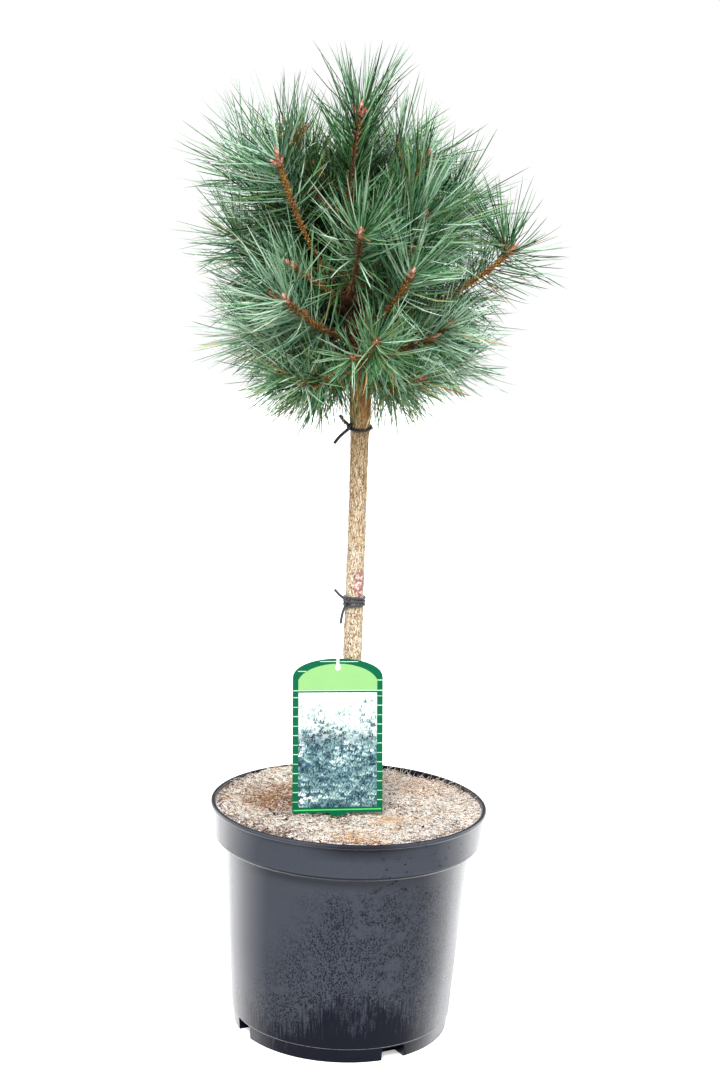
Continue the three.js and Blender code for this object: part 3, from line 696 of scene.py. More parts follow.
def needle_shoot(shoot):
    """Deals the pairs of needles out in a spiral along a shoot, leaning out at its foot and closing up at its bud."""
    rng = shoot.rng
    span = shoot.length - BUD * 0.35 - shoot.needles_from
    count = int(span * PAIRS_PER_MM * shoot.density * rng.uniform(0.92, 1.08))
    size = shoot.share * rng.uniform(0.94, 1.05)
    k = np.arange(count)
    t = ((k + 0.5) / count) ** (0.66 if shoot.parting > 0.3 else 0.82)
    s = shoot.needles_from + t * span
    along = shoot.along(s)
    out = spiral(along, k * GOLDEN + rng.normal(0, 0.3, count))
    # Where the bark shows, the needles part to both sides of the shoot.
    front = unit(FRONT - along * np.sum(FRONT * along, axis=1, keepdims=True))
    facing = np.sum(out * front, axis=1)
    keep = rng.random(count) > shoot.parting * np.clip((facing - 0.1) / 0.35, 0, 1) * (t < 0.95)
    t, s, along, out = t[keep], s[keep], along[keep], out[keep]
    count = len(t)
    at = shoot.at(s)
    radial = unit((at - np.array([CROWN_X, 0, 0])) * np.array([1.0, 1.0, 0.0]))
    away = np.sum(out * radial, axis=1)
    lean = lerp(*shoot.lean, t ** 1.25) + 11 * away + rng.normal(0, 3) + rng.normal(0, 9, count)
    lean = np.radians(np.clip(lean, 6, 104))
    way = out * np.sin(lean)[:, None] + along * np.cos(lean)[:, None]
    way[:, 2] += (np.where(out[:, 2] > 0, 0.22, -0.14) * np.abs(out[:, 2]) - 0.08) * (1.1 - t)
    way = unit(way)
    foot = at + out * (shoot.radius(s) * 0.82)[:, None]
    sheath_size = rng.uniform(0.85, 1.1, count) * (1.0 if shoot.share > 0.5 else 0.5)
    for key, value in (("at", foot), ("way", way), ("size", sheath_size)):
        sheaths[key].append(value)
    pair = cross_unit(way, rng.normal(0, 1, (count, 3)))
    length = lerp(0.64, 1.12, rng.beta(2.6, 1.7, count)) * lerp(42, 61, t ** 0.6) * size
    tint_bias = rng.dirichlet(np.array(TONES[shoot.tone]) * 16 + 0.01)
    low = foot[:, 2] < CROWN_FOOT
    for sign in (1, -1):
        split = np.radians(rng.uniform(3, 11, count))[:, None] * sign
        direction = unit(way + pair * np.tan(split))
        bow = along * rng.uniform(0.04, 0.34, count)[:, None] + rng.normal(0, 0.12, (count, 3))
        bow = bow - pair * sign * rng.uniform(0.0, 0.06, count)[:, None]
        bow[:, 2] -= rng.uniform(0.0, 0.24, count) * np.where(low, 1.0, 0.5) * (1.1 - t)
        own = length * rng.uniform(0.93, 1.04, count)
        # Needles that would leave the part's box are shorter.
        for _ in range(4):
            end = foot + direction * own[:, None] + bow * own[:, None]
            own = np.where(np.any((end < box_low) | (end > box_high), axis=1), own * 0.86, own)
        tint = rng.choice(len(tint_names) - 1, count, p=tint_bias)
        tint = np.where(low & (rng.random(count) < 0.16), OLIVE, tint)
        if shoot is named["upper_1"]:
            tint = np.where((out[:, 0] > 0.1) & (rng.random(count) < UPPER_1_SHADE), DEEP, tint)
        tint = np.where(rng.random(count) < shoot.dry * (1.4 - t), DRY, tint)
        width, twist = rng.uniform(0.9, 1.24, count), rng.uniform(-1.6, 1.6, count)
        for key, value in zip(parts, (foot, direction, bow, -pair * sign, own, width, twist, tint)):
            parts[key].append(value)


for one in shoots:
    needle_shoot(one)
needles = {key: np.concatenate(value) for key, value in parts.items()}

# Bark that shows in front: the shoot, the part of its length from and to, and the half width that stays clear.
CLEAR = [
    ("upper_1", 0.42, 1.0, 2.0), ("upper_2", 0.4, 1.0, 1.8), ("middle_1", 0.2, 1.0, 2.2), ("middle_2", 0.35, 1.0, 2.1),
    ("middle_4", 0.52, 1.0, 2.1), ("leader", 0.1, 0.8, 0.7), ("leader", 0.85, 1.0, 4.0), ("twig_1", 0.25, 1.0, 2.4),
    ("lower_1", 0.93, 1.0, 3.0), ("twig_2", 0.85, 1.0, 2.6), ("twig_3", 0.7, 1.0, 2.4), ("twig_4", 0.6, 1.0, 2.6),
]
# The same for the stem, from and to a height.
CLEAR_STEM = ((572, 602, 3.4), (604, 640, 2.4))
CLEAR_KEPT = 0.2


# How far the stem is from the camera.
STEM_AWAY = 1520.0


def seen_from_front(points):
    """Where points stand in the picture plane, in millimetres at the stem, and how far off they are."""
    p = math.radians(CAMERA["pitch"])
    rel = np.asarray(points, float) - np.array(CAMERA["at"]) / MM
    ahead = rel[..., 1] * math.cos(p) - rel[..., 2] * math.sin(p)
    rise = rel[..., 1] * math.sin(p) + rel[..., 2] * math.cos(p)
    return np.stack([rel[..., 0] / ahead, rise / ahead], axis=-1) * STEM_AWAY, ahead


def on_needle(blades, t):
    return blades["foot"] + (blades["way"] * t + blades["bow"] * t * t) * blades["length"][:, None]


def covers_bark():
    flat, depth = zip(*(seen_from_front(on_needle(needles, t)) for t in (0.16, 0.32, 0.48, 0.64, 0.8, 0.96)))
    flat, depth = np.stack(flat, axis=1), np.stack(depth, axis=1)
    over = np.zeros(len(needles["length"]), bool)
    lines = [(named[name].at(np.linspace(low, high, 26) * named[name].length), half) for name, low, high, half in CLEAR]
    for low, high, half in CLEAR_STEM:
        z = np.linspace(low, high, 14)
        lines.append((np.stack([stem_at(z)[0], z * 0 - 4, z], axis=-1), half))
    for line, half in lines:
        seen, far = seen_from_front(line)
        for a, b, c, d in zip(seen[:-1], seen[1:], far[:-1], far[1:]):
            share = np.clip(np.sum((flat - a) * (b - a), axis=-1) / max(np.sum((b - a) ** 2), 1e-9), 0, 1)
            gap = np.linalg.norm(flat - a - share[..., None] * (b - a), axis=-1)
            over |= np.any((gap < half) & (depth < lerp(c, d, share) - 1.0), axis=1)
    return over


rng = np.random.default_rng(61)
stay = ~covers_bark() | (rng.random(len(needles["length"])) < CLEAR_KEPT)
needles = {key: value[stay] for key, value in needles.items()}


def needle_mesh(chosen):
    """Three-sided curved blades: a flat inner side and two outer ones that meet in a keel."""
    blades = {key: value[chosen] for key, value in needles.items()}
    way, bow, inner = blades["way"], blades["bow"], blades["inner"]
    n, rings = len(chosen), len(NEEDLE_RINGS)
    verts = np.empty((n, rings * 3 + 1, 3))
    for i, (t, wide) in enumerate(zip(NEEDLE_RINGS, NEEDLE_WIDTH)):
        centre = on_needle(blades, t)
        tangent = unit(way + 2 * bow * t)
        face = unit(inner - tangent * np.sum(inner * tangent, axis=1, keepdims=True))
        edge = np.cross(tangent, face)
        turn = (blades["twist"] * t)[:, None]
        face, edge = face * np.cos(turn) + edge * np.sin(turn), edge * np.cos(turn) - face * np.sin(turn)
        half = (blades["width"] * wide / 2)[:, None]
        verts[:, 3 * i] = centre + edge * half
        verts[:, 3 * i + 1] = centre - edge * half
        verts[:, 3 * i + 2] = centre - face * half * 0.95
    verts[:, -1] = on_needle(blades, 1)
    last = 3 * (rings - 1)
    triangles = [(last, last + 3, last + 1), (last + 1, last + 3, last + 2), (last + 2, last + 3, last), (0, 1, 2)]
    mats = np.concatenate([np.tile([1, 0, 0] * (rings - 1), n), np.tile([1, 0, 0, 0], n)])
    return verts.reshape(-1, 3), copies(n, 3 * rings + 1, sleeve(rings), triangles), mats


MOST_NEEDLES = 8600
for index, name in enumerate(tint_names):
    chosen = np.where(needles["tint"] == index)[0]
    for part, start in enumerate(range(0, len(chosen), MOST_NEEDLES)):
        verts, faces, mats = needle_mesh(chosen[start:start + MOST_NEEDLES])
        label = "needles_%s_%d" % (name, part + 1)
        new_piece(label, verts, faces, tint_materials[name], "needles", mats, smooth=False)
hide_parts(*[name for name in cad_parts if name.startswith("needles")])


def cones(at, way, length, foot_radius, tip_radius, sides=5):
    """Small tapered closed tubes, many at once."""
    side = cross_unit(way, np.array([0.31, 0.17, 0.93]))
    other = np.cross(way, side)
    verts = np.empty((len(at), 2 * sides, 3))
    for j in range(sides):
        a = TAU * j / sides
        ring = side * math.cos(a) + other * math.sin(a)
        verts[:, j] = at + ring * foot_radius[:, None]
        verts[:, sides + j] = at + way * length[:, None] + ring * tip_radius[:, None]
    quads = [(j, (j + 1) % sides, sides + (j + 1) % sides, sides + j) for j in range(sides)]
    caps = [(0, j + 1, j) for j in range(1, sides - 1)]
    caps += [(sides, sides + j, sides + j + 1) for j in range(1, sides - 1)]
    return verts.reshape(-1, 3), copies(len(at), 2 * sides, quads, caps)


at, way, size = (np.concatenate(value) for value in sheaths.values())
verts, faces = cones(at - way * 0.8, way, 3.8 * size, 0.95 * size, 0.68 * size)
new_piece("needle_sheaths", verts, faces, [sheath_material()], "twig_bark")

# --- boughs, twigs and buds
PEGS_PER_MM = 1.5
# Where pegs begin along a shoot, and the row of them up the stem inside the crown.
PEGS_FROM = 6
STEM_PEGS = {"count": 620, "from": 596, "step": 0.24}
# The shoots that stand in the crown's shade get darker bark, as painted shade.
SHADED = [named[name] for name in ("upper_2", "leader", "twig_2")]
# A peg's old flag gives it the darker peg bark, painted as shade.
pegs = {"at": [], "way": [], "size": [], "old": []}


def add_pegs(at, way, size, old):
    for key, value in zip(pegs, (at, unit(way), size, np.full(len(at), int(old)))):
        pegs[key].append(value)


for index, one in enumerate(shoots):
    rng = np.random.default_rng(7000 + index)
    count = int((one.length - BUD - PEGS_FROM) * PEGS_PER_MM)
    k = np.arange(count)
    s = PEGS_FROM + (k + 0.5) / PEGS_PER_MM
    along = one.along(s)
    out = spiral(along, k * GOLDEN + rng.normal(0, 0.15, count))
    size = rng.uniform(0.75, 1.15, count) * np.maximum(one.radius(s) / 3.2, 0.74 if one.share > 0.5 else 0.3)
    add_pegs(one.at(s) + out * (one.radius(s) * 0.8)[:, None], out * 0.62 + along * 0.78, size, one in SHADED)
rng = np.random.default_rng(6999)
k = np.arange(STEM_PEGS["count"])
z = STEM_PEGS["from"] + k * STEM_PEGS["step"]
x, radius = stem_at(z)
out = np.stack([np.cos(k * GOLDEN), np.sin(k * GOLDEN), k * 0.0], axis=-1)
on_axis = np.stack([x, k * 0.0, z], axis=-1)
# The pegs up the stem inside the crown all take the darker peg bark, as painted shade.
add_pegs(on_axis + out * (radius * 0.96)[:, None], out * 0.6 + UP * 0.8, rng.uniform(0.8, 1.3, len(k)), True)
at, way, size, old = (np.concatenate(value) for value in pegs.values())
verts, faces = cones(at, way, 2.3 * size, 0.95 * size, 0.34 * size, 4)
new_piece("bark_pegs", verts, faces, peg_barks, "twig_bark", np.tile(np.repeat(old, 4), 2))

boughs, buds = Heap(), Heap()
for index, one in enumerate(shoots):
    s = np.linspace(0, one.length - BUD * 0.55, max(14, int(one.length / 1.5)))
    collar = 1 + 0.45 * np.exp(-s / 5)
    phase = np.random.default_rng(500 + index).uniform(0, 6.28)

    def relief(angle, run):
        scars = np.sin(5 * angle + run * 1.9 + phase) * np.sin(3 * angle - run * 1.35 + 2 * phase)
        return 0.26 * scars + 0.16 * np.sin(8 * angle + run * 3.1)

    boughs.add(*tube(one.at(s), one.radius(s) * collar, 14, relief), int(one in SHADED))
bough_piece = boughs.piece("boughs", twig_barks, "twig_bark")
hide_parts(*[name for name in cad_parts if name.startswith("bough")])

SMALL_BUDS = [named[name] for name in ("lower_1", "twig_6", "twig_7", "twig_8", "twig_9")]


def add_bud(at, way, length, radius, seed):
    t = np.linspace(0, 1, 9)
    profile = radius * np.sin(math.pi * np.clip(t, 0.02, 0.98)) ** 0.65 * lerp(1.1, 0.55, t)
    scales = lambda angle, run: 0.12 * radius * np.sin(5 * angle + run * 2.6 + seed)
    buds.add(*tube(at + way * (t * length)[:, None], profile, 10, scales))


for index, one in enumerate(shoots):
    rng = np.random.default_rng(900 + index)
    way = one.along(np.array([one.length]))[0]
    tip = one.at(np.array([one.length - BUD]))[0]
    side = cross_unit(way, np.array([0.2, 0.3, 0.9]))
    other = np.cross(way, side)
    scale = 1.0 if one.length > 70 else 0.78 if one.length > 25 else 0.4
    scale *= 0.72 if one in SMALL_BUDS else 1
    # Six buds stand close round a long one; more than that spread out.
    close, crowded = one.buds == 6, one.buds > 1
    spread = 1.0 + 0.12 * max(0, one.buds - 4)
    if crowded:
        add_bud(tip, way, (16 if close else 13.5) * scale, 2.1 * scale, rng.uniform(0, 6))
    else:
        add_bud(tip - way, way, 12.0 * scale, 3.3 * scale, rng.uniform(0, 6))
    around_it = one.buds - 1 if crowded else 3
    for j in range(around_it):
        a = TAU * j / around_it + rng.uniform(-0.3, 0.3)
        around = side * math.cos(a) + other * math.sin(a)
        if crowded:
            lean = unit(way + around * rng.uniform(0.5, 1.1) * (0.74 if close else spread))
            foot = tip + around * 2.2 * (spread - 1) - way * rng.uniform(0, 2.5)
            add_bud(foot, lean, rng.uniform(9.5, 12.5) * scale, 1.75 * scale, j)
        else:
            lean = unit(way + around * rng.uniform(0.7, 1.0))
            add_bud(tip + lean * 0.5, lean, rng.uniform(4.5, 6.0) * scale, 1.5 * scale, j)
buds.piece("buds", [bud_material()], "twig_bark")


# --- stem
def stem_piece():
    sides, scar_rings = 104, (566, 592, 612, 634, 655, 676, 703)
    z = np.arange(200.2, 742.01, 0.9)
    x, radius = stem_at(z)
    radius = np.convolve(np.pad(radius, 6, mode="edge"), np.ones(13) / 13, mode="valid")
    x = np.convolve(np.pad(x, 10, mode="edge"), np.ones(21) / 21, mode="valid")
    a, zz = np.meshgrid(np.arange(sides) * TAU / sides, z)
    grain = lambda cells, height, seed: value_noise(a / TAU * cells, zz / height, cells, seed)
    ridge = grain(14, 11, 1) * 0.55 + grain(30, 5, 2) * 0.45
    pits = np.clip(0.3 - grain(34, 2.0, 4), 0, 1)
    relief = 0.9 * (ridge - 0.5) + 0.5 * (grain(22, 3.4, 3) - 0.5) - 2.2 * pits
    foot = np.clip((zz - 200) / 16, 0, 1)
    lobes = (1 - foot) * 1.1 * (value_noise(a / TAU * 6, zz * 0 + 0.5, 6, 5) - 0.4)
    r = radius[:, None] + relief * np.clip(radius / 8.5, 0.5, 1)[:, None] * 0.8 + lobes * 1.4
    # Rings of old bud scars above the graft.
    for scar_z in scar_rings:
        r = r + 0.5 * np.exp(-(((zz - scar_z) / 2.2) ** 2))
    verts = np.stack([x[:, None] + r * np.cos(a), r * np.sin(a), zz], axis=-1).reshape(-1, 3)
    verts = np.concatenate([verts, [[x[0], 0, z[0]], [x[-1], 0, z[-1]]]])
    piece = new_piece("stem", verts, ring_faces(len(z), sides), [bark_material()], "stem_bark")
    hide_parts("trunk")


stem_piece()

# --- pot: its rim, collar ("band"), shoulder, tapered body and foot, as radii and heights
POT = {
    "height": 205, "rim": 124, "rim_thickness": 3.2, "band_top": 122, "band_bottom": 119.6, "band_z": 175,
    "body_top": 109.7, "body_z": 169.6, "shoulder_rise": 1.2, "body_bottom": 99.2, "foot_top": 98, "foot": 97,
    "foot_z": 12.5, "wall": 2, "floor": 4.5,
}


def smooth_corner(points, radius):
    """A profile with its inner corners rounded."""
    points = [np.array(p, float) for p in points]
    out = [points[0]]
    for before, corner, after in zip(points, points[1:], points[2:]):
        r = min(radius, np.linalg.norm(before - corner) / 2.2, np.linalg.norm(after - corner) / 2.2)
        out += list(bezier(corner + unit(before - corner) * r, corner, corner + unit(after - corner) * r, 4))
    return out + [points[-1]]


def pot_piece():
    p = POT
    height, wall, band_z, low_band, body_z = (p[key] for key in ("height", "wall", "band_z", "band_bottom", "body_z"))
    lip = height - p["rim_thickness"]
    shoulder = bezier((p["body_top"], body_z), (low_band, body_z + p["shoulder_rise"]), (low_band, band_z), 9)
    under_lip = lerp(low_band, p["band_top"], (lip - 1 - band_z) / (lip - band_z))
    profile = smooth_corner([
        (0, 0), (p["foot"], 0), (p["foot_top"], p["foot_z"]), (p["body_bottom"], p["foot_z"] + 0.8), (104.2, 86),
        *shoulder, (low_band + 0.16, band_z + 0.2), (low_band + 0.16, band_z + 0.7), (low_band + 0.12, band_z + 1.1),
        (under_lip, lip - 1), (p["rim"] - 0.3, lip - 0.2), (p["rim"], lip + 0.8), (p["rim"], height - 0.9),
        (p["rim"] - 1.1, height), (p["band_top"] - wall + 1, height), (p["band_top"] - wall, height - 1),
        (low_band - wall, band_z + 2), (low_band - 4, body_z + 6), (p["body_top"] - wall, body_z + 2),
        (p["foot"] - wall, p["floor"]), (0, p["floor"]),
    ], 0.6)
    sides = 160
    circle = [(math.cos(TAU * j / sides), math.sin(TAU * j / sides)) for j in range(sides)]
    verts, quads, triangles, rings = [], [], [], []
    for r, z in profile:
        count = 1 if r < 1e-6 else sides
        rings.append(range(len(verts), len(verts) + count))
        verts += [(r * c, r * s, z) for c, s in circle[:count]]
    for low, high in zip(rings, rings[1:]):
        for j in range(sides):
            k = (j + 1) % sides
            if len(low) == 1:
                triangles.append((low[0], high[k], high[j]))
            elif len(high) == 1:
                triangles.append((low[j], low[k], high[0]))
            else:
                quads.append((low[j], low[k], high[k], high[j]))
    return new_piece("pot_shell", verts, [quads, triangles], [pot_material()], "pot_plastic")


def box_object(width, inner, outer, low, high, azimuth, bevel=0.0):
    mesh, bm = bpy.data.meshes.new("box"), bmesh.new()
    bmesh.ops.create_cube(bm, size=1)
    for v in bm.verts:
        x, y, z = v.co
        at = Vector((x * width, -(inner + outer) / 2 + y * (outer - inner), (low + high) / 2 + z * (high - low)))
        v.co = Matrix.Rotation(math.radians(azimuth), 3, "Z") @ at * MM
    if bevel:
        bmesh.ops.bevel(bm, geom=bm.edges[:], offset=bevel * MM, segments=2, affect="EDGES")
    bm.to_mesh(mesh)
    bm.free()
    return place("box", mesh)


def carve(target, operation, *size):
    """Adds a box to the target at each drain niche, or cuts one out of it."""
    for azimuth in (29.5, 119.5, 209.5, 299.5):
        cutter = box_object(*size[:5], azimuth, *size[5:])
        modifier = target.modifiers.new("cut", "BOOLEAN")
        modifier.operation, modifier.solver, modifier.object = operation, "MANIFOLD", cutter
        graph = bpy.context.evaluated_depsgraph_get()
        result = bpy.data.meshes.new_from_object(target.evaluated_get(graph))
        target.modifiers.clear()
        old, target.data = target.data, result
        bpy.data.meshes.remove(old)
        bpy.data.objects.remove(cutter)


pot = pot_piece()
carve(pot, "UNION", 26, 80, 96.2, 0.3, 13.5)
carve(pot, "DIFFERENCE", 22, 82, 130, -3, 11.5, 0.8)
carve(pot, "DIFFERENCE", 9, 84, 89, 6, 15.5)
pot.data.polygons.foreach_set("use_smooth", [True] * len(pot.data.polygons))
pot.data.update()
with bpy.context.temp_override(object=pot, active_object=pot, selected_objects=[pot], selected_editable_objects=[pot]):
    bpy.ops.object.shade_smooth_by_angle(angle=math.radians(32))
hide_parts("pot")

# --- potting mix: its level, how it rises round the stem, and low and high places as x, y, spread and depth
SOIL = {"level": 200, "seat": 18, "rise": 3.2, "front": 0.5, "drop": 0.4, "under": 180}
SOIL_DIPS = ((-66, 2, 30, 6), (66, 92, 28, 3.6), (-78, 82, 42, -1.7))
# Height, size, repeat and seed of the lumps.
LUMPS = ((1.7, 9, 128, 11), (1.3, 3.6, 256, 12), (0.6, 1.5, 512, 13))


def hill(x, y, at_x, at_y, spread):
    """1 at a place, and less all round it."""
    return np.exp(-((x - at_x) ** 2 + (y - at_y) ** 2) / (2 * spread ** 2))


def soil_top(x, y):
    r = np.hypot(x, y)
    t = np.clip((r - SOIL["seat"]) / (80 - SOIL["seat"]), 0, 1)
    share = t * t * (3 - 2 * t)
    low = sum(depth * hill(x, y, *at) for *at, depth in SOIL_DIPS)
    waves = 0.7 * np.sin(x / 17 + 1) * np.cos(y / 21) + 0.4 * np.sin((x + y) / 11)
    edge = np.clip((r - 112) / 8, 0, 1) * SOIL["drop"]
    height = SOIL["level"] + share * (SOIL["rise"] + waves - SOIL["front"] * y / 100 - low) - edge
    lumps = sum(rise * (value_noise((x + 300) / size, (y + 300) / size, cells, seed) - 0.5)
                for rise, size, cells, seed in LUMPS)
    return height + lumps * np.clip((r - 12) / 10, 0.35, 1)


def wall_radius(z):
    return np.interp(z, [175, 204], [117.6, 120.0]) - 0.12


def soil_piece():
    rings = np.concatenate([[0.6], np.arange(2.2, 119, 1.25)])
    sides = 360
    angle = np.arange(sides) * TAU / sides
    r, a = np.meshgrid(rings, angle, indexing="ij")
    x, y = r * np.cos(a), r * np.sin(a)
    z = soil_top(x, y)
    edge, under = z[-1] - 0.4, z[-1] * 0 + SOIL["under"]
    low_radius = wall_radius(edge - 8)
    rows = [np.stack(row, axis=-1) for row in zip(x, y, z)]
    for radius, level in ((wall_radius(edge), edge), (low_radius, edge - 8), (low_radius - 1, under)):
        rows.append(np.stack([radius * np.cos(angle), radius * np.sin(angle), level], axis=-1))
    ends = [[0, 0, float(soil_top(np.array(0.0), np.array(0.0)))], [0, 0, SOIL["under"]]]
    faces = ring_faces(len(rows), sides, inward=True)
    piece = new_piece("potting_mix", np.concatenate(rows + [ends]), faces, [soil_material()], "potting_mix")
    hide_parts("soil")


soil_piece()

# Each kind of straw: its colour, its share of the straws and its share of the crumbs.
FIBRES = {
    "straw": ((248, 234, 212), 0.28, 0.1), "pale": ((255, 250, 242), 0.40, 0.12), "tan": ((212, 178, 144), 0.08, 0.14),
    "brown": ((126, 82, 50), 0.10, 0.32), "dark": ((36, 21, 12), 0.14, 0.32), "orange": ((206, 156, 86), 0.0, 0.0),
}
BROWN, DARK = 3, 4
fibre_materials = [fibre_material("fibre_" + name, rgb) for name, (rgb, _, _) in FIBRES.items()]
# Places of another colour: x, y, spread, strength and the two kinds found there.
PATCHES = [
    (-60, 26, 24, 0.42, 3, 2), (-70, -4, 20, 0.54, 3, 2), (64, 60, 20, 0.62, 2, 3), (46, -2, 10, 0.4, 3, 4),
    (37, -45, 10, 0.9, 5, 2), (8, -110, 15, 0.9, 5, 3), (-62, -101, 18, 0.8, 3, 4), (-94, -70, 13, 0.6, 3, 4),
    (-14, -37, 11, 0.8, 4, 3), (-117, 8, 10, 0.5, 5, 3), (-60, -38, 12, 0.7, 4, 3), (-50, 6, 12, 0.7, 3, 4),
]


def scatter(rng, count, reach):
    r = reach * np.sqrt(rng.random(count))
    a = rng.uniform(0, TAU, count)
    x, y = r * np.cos(a), r * np.sin(a)
    clear = np.hypot(x + 1, y) > 12.5
    return x[clear], y[clear]


def kinds_at(rng, x, y, column):
    kind = rng.choice(len(FIBRES), len(x), p=[row[column] for row in FIBRES.values()])
    for px, py, spread, strength, first, second in PATCHES:
        near = strength * hill(x, y, px, py, spread)
        kind = np.where(rng.random(len(x)) < near, np.where(rng.random(len(x)) < 0.6, first, second), kind)
    # More brown and dark bits lie along the pot's wall, most of them at the front left.
    edge = np.clip((np.hypot(x, y) - 109) / 7, 0, 1) * np.where(x * 0.6 + y < 10, 0.62, 0.16)
    return np.where(rng.random(len(x)) < edge, np.where(rng.random(len(x)) < 0.45, BROWN, DARK), kind)


def fibres_piece(count):
    rng = np.random.default_rng(41)
    x, y = scatter(rng, count, 118.5)
    n = len(x)
    far = np.clip((y - 30) / 60, 0, 1)
    length = np.where(rng.random(n) < 0.08 + 0.12 * far, rng.uniform(7, 14, n), rng.uniform(2.2, 6.4, n))
    a = rng.uniform(0, TAU, n)
    sway = np.stack([-np.sin(a), np.cos(a)], axis=-1) * rng.normal(0, 0.3, n)[:, None]
    radius = rng.uniform(0.14, 0.27, n)
    tilt = rng.normal(0, 0.2, n) * (1 + far)
    lift = rng.uniform(0, 0.5, n)
    # Some straws at the back lean out over the rim.
    over = (np.hypot(x, y) > 109) & (y > -10) & (rng.random(n) < np.where(x > 0, 0.13, 0.06))
    a = np.where(over, np.arctan2(y, x) + rng.normal(0, 0.7, n), a)
    heading = np.stack([np.cos(a), np.sin(a)], axis=-1)
    side = np.stack([-np.sin(a), np.cos(a), np.zeros(n)], axis=-1)
    length = np.where(over, rng.uniform(8, 13, n), length)
    limit = np.where(over, 123.4, 118.9)
    verts = np.empty((n, 9, 3))
    for i, t in enumerate((-0.5, 0.0, 0.5)):
        flat = np.stack([x, y], axis=-1) + heading * (t * length)[:, None] + sway * ((t * t - 0.1) * length)[:, None]
        flat *= np.minimum(1, limit / np.hypot(flat[:, 0], flat[:, 1]))[:, None]
        ground = np.maximum(soil_top(flat[:, 0], flat[:, 1]), soil_top(x, y) - 0.4)
        z = np.minimum(ground + radius + lift + np.abs(tilt) * (t + 0.5) * length, 206.0)
        z = np.where(over, np.maximum(z, lerp(soil_top(x, y), 206.6, (t + 0.5) ** 0.7)), z)
        centre = np.concatenate([flat, z[:, None]], axis=1)
        thin = radius * (1 if i == 1 else 0.5)
        for j in range(3):
            b = TAU * j / 3
            verts[:, 3 * i + j] = centre + (side * math.cos(b) + UP * math.sin(b)) * thin[:, None]
    kind = kinds_at(rng, x, y, 1)
    mats = np.concatenate([np.repeat(kind, 6), np.repeat(kind, 2)])
    faces = copies(n, 9, sleeve(3), [(0, 1, 2), (6, 8, 7)])
    new_piece("coir_fibres", verts.reshape(-1, 3), faces, fibre_materials, "potting_mix", mats)


def crumbs_piece(count):
    rng = np.random.default_rng(43)
    x, y = scatter(rng, count, 118)
    n = len(x)
    size = rng.uniform(0.34, 0.8, n) * np.where(rng.random(n) < 0.04, 2.2, 1)
    centre = np.stack([x, y, soil_top(x, y) + size * 0.35], axis=-1)
    corners = np.array([(1, 0, 0), (-1, 0, 0), (0, 1, 0), (0, -1, 0), (0, 0, 1), (0, 0, -1)], float)
    verts = centre[:, None] + corners[None] * size[:, None, None] * rng.uniform(0.6, 1.3, (n, 6, 1))
    triangles = [(0, 2, 4), (2, 1, 4), (1, 3, 4), (3, 0, 4), (2, 0, 5), (1, 2, 5), (3, 1, 5), (0, 3, 5)]
    mats = np.repeat(kinds_at(rng, x, y, 2), 8)
    faces = copies(n, 6, triangles)
    new_piece("crumbs", verts.reshape(-1, 3), faces, fibre_materials, "potting_mix", mats, smooth=False)


fibres_piece(13500)
crumbs_piece(7200)


# --- ties
def spline(points, count):
    """A smooth line through points."""
    points = np.asarray(points, float)
    p = np.concatenate([[2 * points[0] - points[1]], points, [2 * points[-1] - points[-2]]])
    out = []
    for a, b, c, d in zip(p, p[1:], p[2:], p[3:]):
        square, cube = 2 * a - 5 * b + 4 * c - d, 3 * b - 3 * c + d - a
        for t in np.linspace(0, 1, count, endpoint=False):
            out.append(0.5 * (2 * b + (c - a) * t + square * t * t + cube * t ** 3))
    return np.array(out + [points[-1]])


def tie_piece(name, z, slope, turns, azimuth, ends, material, pitch, cord):
    """Turns of cord round the stem with a knot, and cut ends that reach x and dz from it."""
    axis_x, radius = stem_at(z)
    ring = radius + cord * 0.75
    heap = Heap()
    a = np.linspace(0, TAU, 73)
    for i in range(turns):
        wobble = 0.5 * np.sin(2 * a + i) if turns > 1 else 0.15 * np.sin(3 * a)
        level = z + pitch * (i - (turns - 1) / 2) + wobble - ring * np.cos(a) * math.tan(math.radians(slope))
        heap.add(*tube(np.stack([axis_x + ring * np.sin(a), -ring * np.cos(a), level], axis=-1), cord, 12))
    out = outward(azimuth)
    across = cross_unit(out, UP)
    knot = np.array([axis_x, 0, z]) + out * (ring + cord / 2)
    wrap = [knot + across * 2.4 * math.cos(b) + out * 1.1 * math.sin(b)
            + UP * (2.6 * math.sin(b * 0.5) - 1.2 + 1.6 * math.sin(2 * b)) for b in np.linspace(0, TAU, 9)]
    heap.add(*tube(spline(wrap, 6), cord * 0.92, 10))
    for x, dz in ends:
        start, end = knot + UP * math.copysign(1.2, dz), knot + np.array([x, 0, dz])
        line = spline([start, (start + end) / 2 + out * 1.2, end], 10)
        r = np.full(len(line), cord * 1.04)
        r[-1] *= 0.85
        heap.add(*tube(line, r, 12))
    piece = heap.piece(name + "_cord", [material], "tie_cord")
    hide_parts(name)


black, grey = cord_material("tie_black", (16, 16, 19)), cord_material("tie_grey", (50, 52, 60))
tie_piece("tie_upper", 543, 15, 1, -62, [(-8.6, 10.2), (-12.6, -14.8)], black, 5.0, 1.4)
tie_piece("tie_lower", 389, 2, 3, -46, [(-11, 10.4), (-4.4, -20)], grey, 3.3, 1.15)

